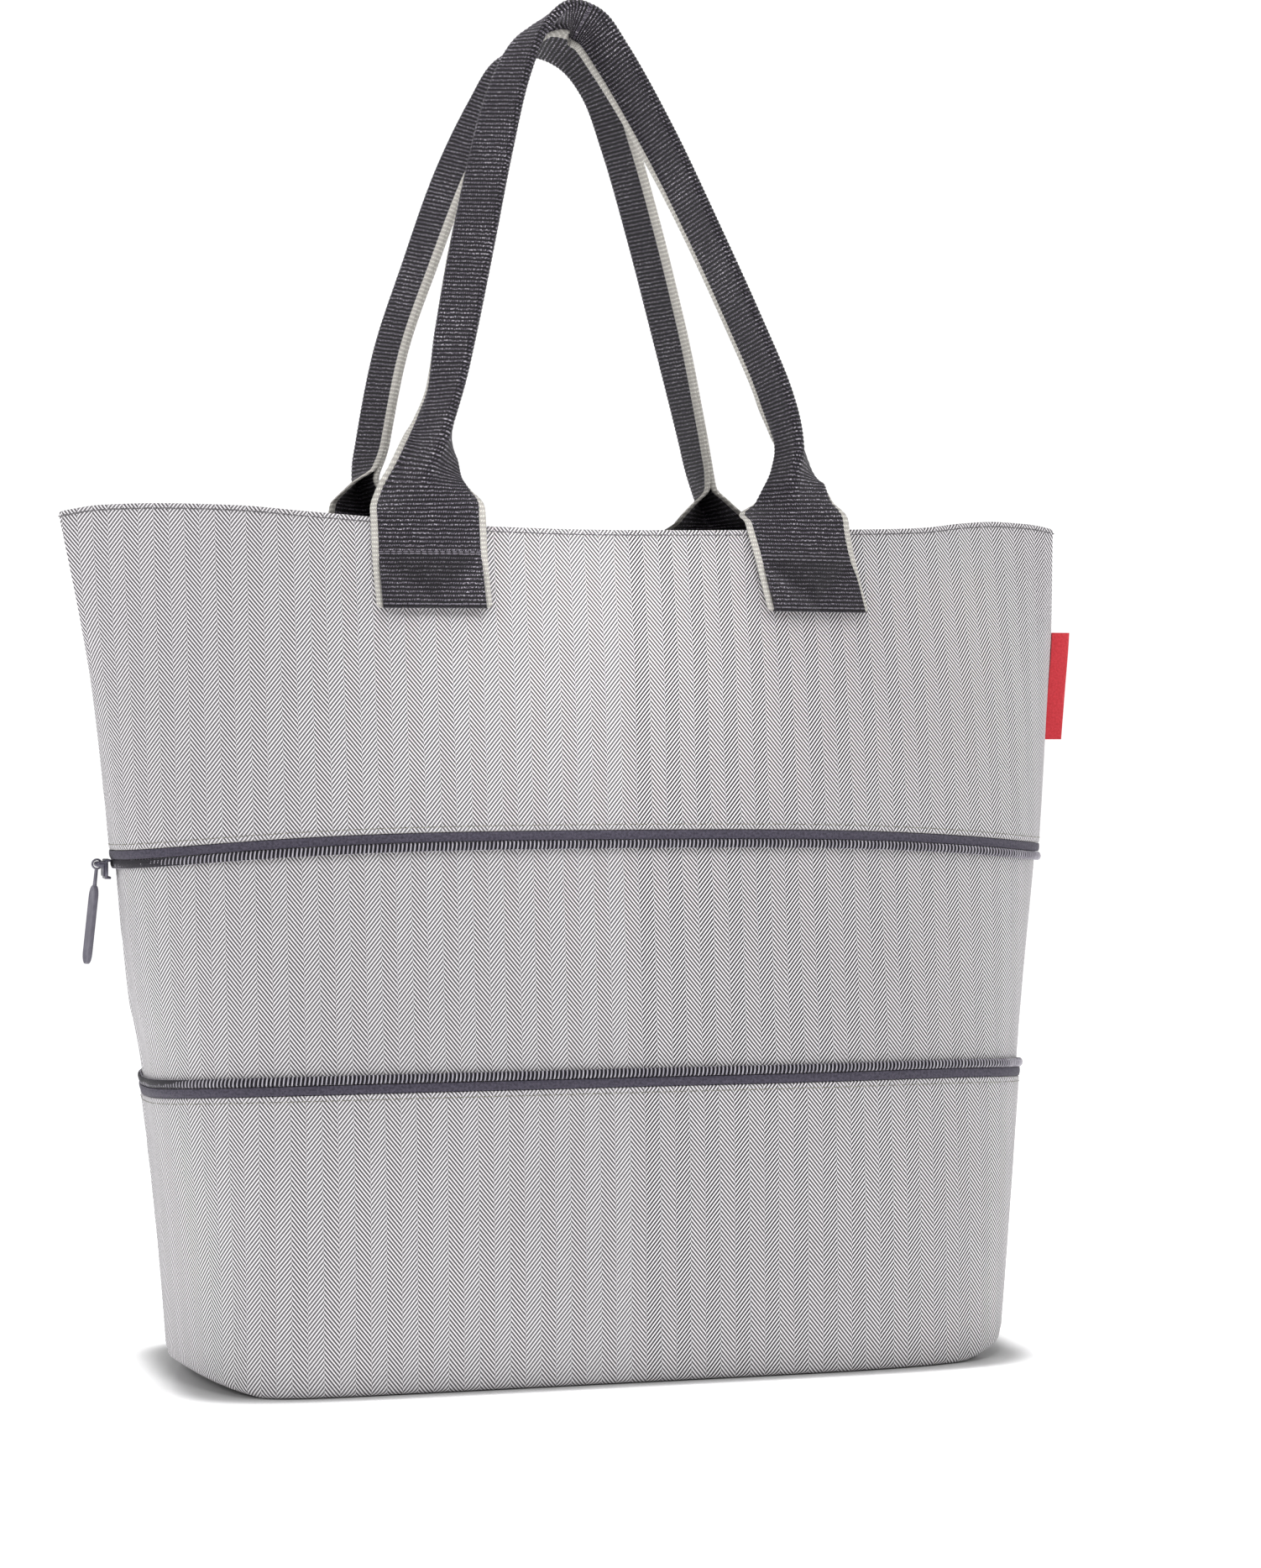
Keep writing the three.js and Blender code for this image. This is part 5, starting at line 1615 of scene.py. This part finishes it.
@dataclass(frozen=True)
class Softbox:
    """A square soft light that looks at a point of the bag."""

    name: str
    place: Point
    size: float
    power: float
    aim: Point = (0.0, 0.0, 0.25)
    spread: float = 180.0

    def build(self) -> None:
        """Adds the light to the scene."""
        data = bpy.data.lights.new(self.name, "AREA")
        data.shape = "SQUARE"
        data.size = self.size
        data.spread = math.radians(self.spread)
        data.energy = self.power
        light = bpy.data.objects.new(self.name, data)
        light.location = self.place
        light.rotation_euler = (Vector(self.aim) - Vector(self.place)).to_track_quat("-Z", "Y").to_euler()
        bpy.context.scene.collection.objects.link(light)


@dataclass
class Studio:
    """White studio: the camera of the photograph, a pale floor and soft lights."""

    camera_place: Point = (-0.4125, -1.5733, 0.2871)
    camera_turn: float = -15.42
    lens: float = 80.2
    rise: float = -0.0306
    sky: float = 0.26
    backdrop: float = 1.05
    lights: tuple[Softbox, ...] = (
        Softbox("key_light", (-2.3, -1.0, 1.7), 1.3, 34.0),
        Softbox("front_light", (0.0, -0.75, 1.9), 0.25, 5.0),
        Softbox("fill_light", (2.1, -0.9, 1.3), 1.3, 20.5),
        Softbox("top_light", (0.1, 0.2, 2.6), 1.4, 20.0),
        Softbox("sheen_light", (-0.01, -0.42, 0.64), 0.1, 0.036, (-0.012, -0.05, 0.352), 30.0),
    )

    def place_camera(self) -> None:
        """Makes the camera and makes it the scene's own."""
        data = bpy.data.cameras.new("studio_camera")
        data.lens = self.lens
        data.shift_y = self.rise
        camera = bpy.data.objects.new("studio_camera", data)
        camera.location = self.camera_place
        camera.rotation_euler = (math.pi / 2, 0.0, math.radians(self.camera_turn))
        bpy.context.scene.collection.objects.link(camera)
        bpy.context.scene.camera = camera

    def build(self) -> None:
        """Builds the floor and the lights."""
        scene = bpy.context.scene
        scene.view_settings.view_transform = "Standard"
        world = bpy.data.worlds.new("studio_white")
        world.use_nodes = True
        graph = Graph(world.node_tree)
        unseen, seen = graph.tree.nodes["Background"], graph.node("ShaderNodeBackground")
        for background, strength in ((unseen, self.sky), (seen, self.backdrop)):
            graph.feed(background.inputs["Color"], (1.0, 1.0, 1.0, 1.0))
            graph.feed(background.inputs["Strength"], strength)
        ray = graph.node("ShaderNodeLightPath").outputs["Is Camera Ray"]
        choice = graph.node("ShaderNodeMixShader", {0: ray, 1: unseen.outputs[0], 2: seen.outputs[0]})
        graph.feed(graph.tree.nodes["World Output"].inputs[0], choice.outputs[0])
        scene.world = world
        sketch = Sketch()
        span = np.linspace(-6.0, 6.0, 13)
        sketch.grid(joined(span[None, :], span[:, None], -0.2 * MM))
        floor = sketch.piece("floor", (StudioFloor().material(),))
        for light in self.lights:
            light.build()


def rim_stitches(form: BagForm, palette: Palette, stitches: StitchTree) -> bpy.types.Object:
    """Builds the dark stitch line just under the rim; its dark thread also stands in for the seam's shade
    there, as painted shade.
    """
    ring = form.ring(form.rim(form.shares) - 2.3 * MM, -0.05 * MM)[:-1]
    piece = stitches.apply(
        thread_path("rim_stitches", [ring], closed=True), Pitch=2.6 * MM, Length=2.55 * MM, Width=0.75 * MM,
        Seed=3, Material=palette.rim_thread,
    )
    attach(piece, "bag")
    return piece


def main() -> None:
    """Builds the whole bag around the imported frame."""
    logging.basicConfig(level=logging.INFO, format="%(name)s %(message)s")
    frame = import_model()
    studio = Studio()
    studio.place_camera()
    studio.build()
    form, palette = BagForm(), Palette()
    stitches, turns = StitchTree(), CoilTree()
    pieces = [
        BaseTier(form, palette, "lower_tier_cloth", "lower_tier", form.lower_edge, form.lower_edge).build(),
        ClothTier(
            form, palette, "middle_tier_cloth", "middle_tier",
            lambda share: form.lower_edge(share) - form.tuck,
            lambda share: form.upper_edge(share) + form.tuck, form.wall + form.gap,
        ).build(),
        ClothTier(
            form, palette, "upper_tier_cloth", "upper_tier", form.upper_edge, form.rim, hem=20 * MM,
        ).build(),
        rim_stitches(form, palette, stitches),
    ]
    for chain in Chain:
        pieces += ZipHalf(form, palette, chain, stitches, turns).build()
    hardware = SliderAndPull(palette)
    hinge = np.array(frame["joints"][0]["pos_m"], float)
    pieces += [hardware.build_slider(hinge), hardware.build_pull(hinge)]
    for panel, route in ((Panel.FRONT, FRONT_ROUTE), (Panel.BACK, BACK_ROUTE)):
        pieces += Handle(form, palette, panel, route, stitches).build()
    pieces.append(SideLabel(form, palette).build())
    for piece in pieces:
        LOG.info("%s: %d faces", piece.name, len(piece.data.polygons))


if __name__ == "__main__":
    main()
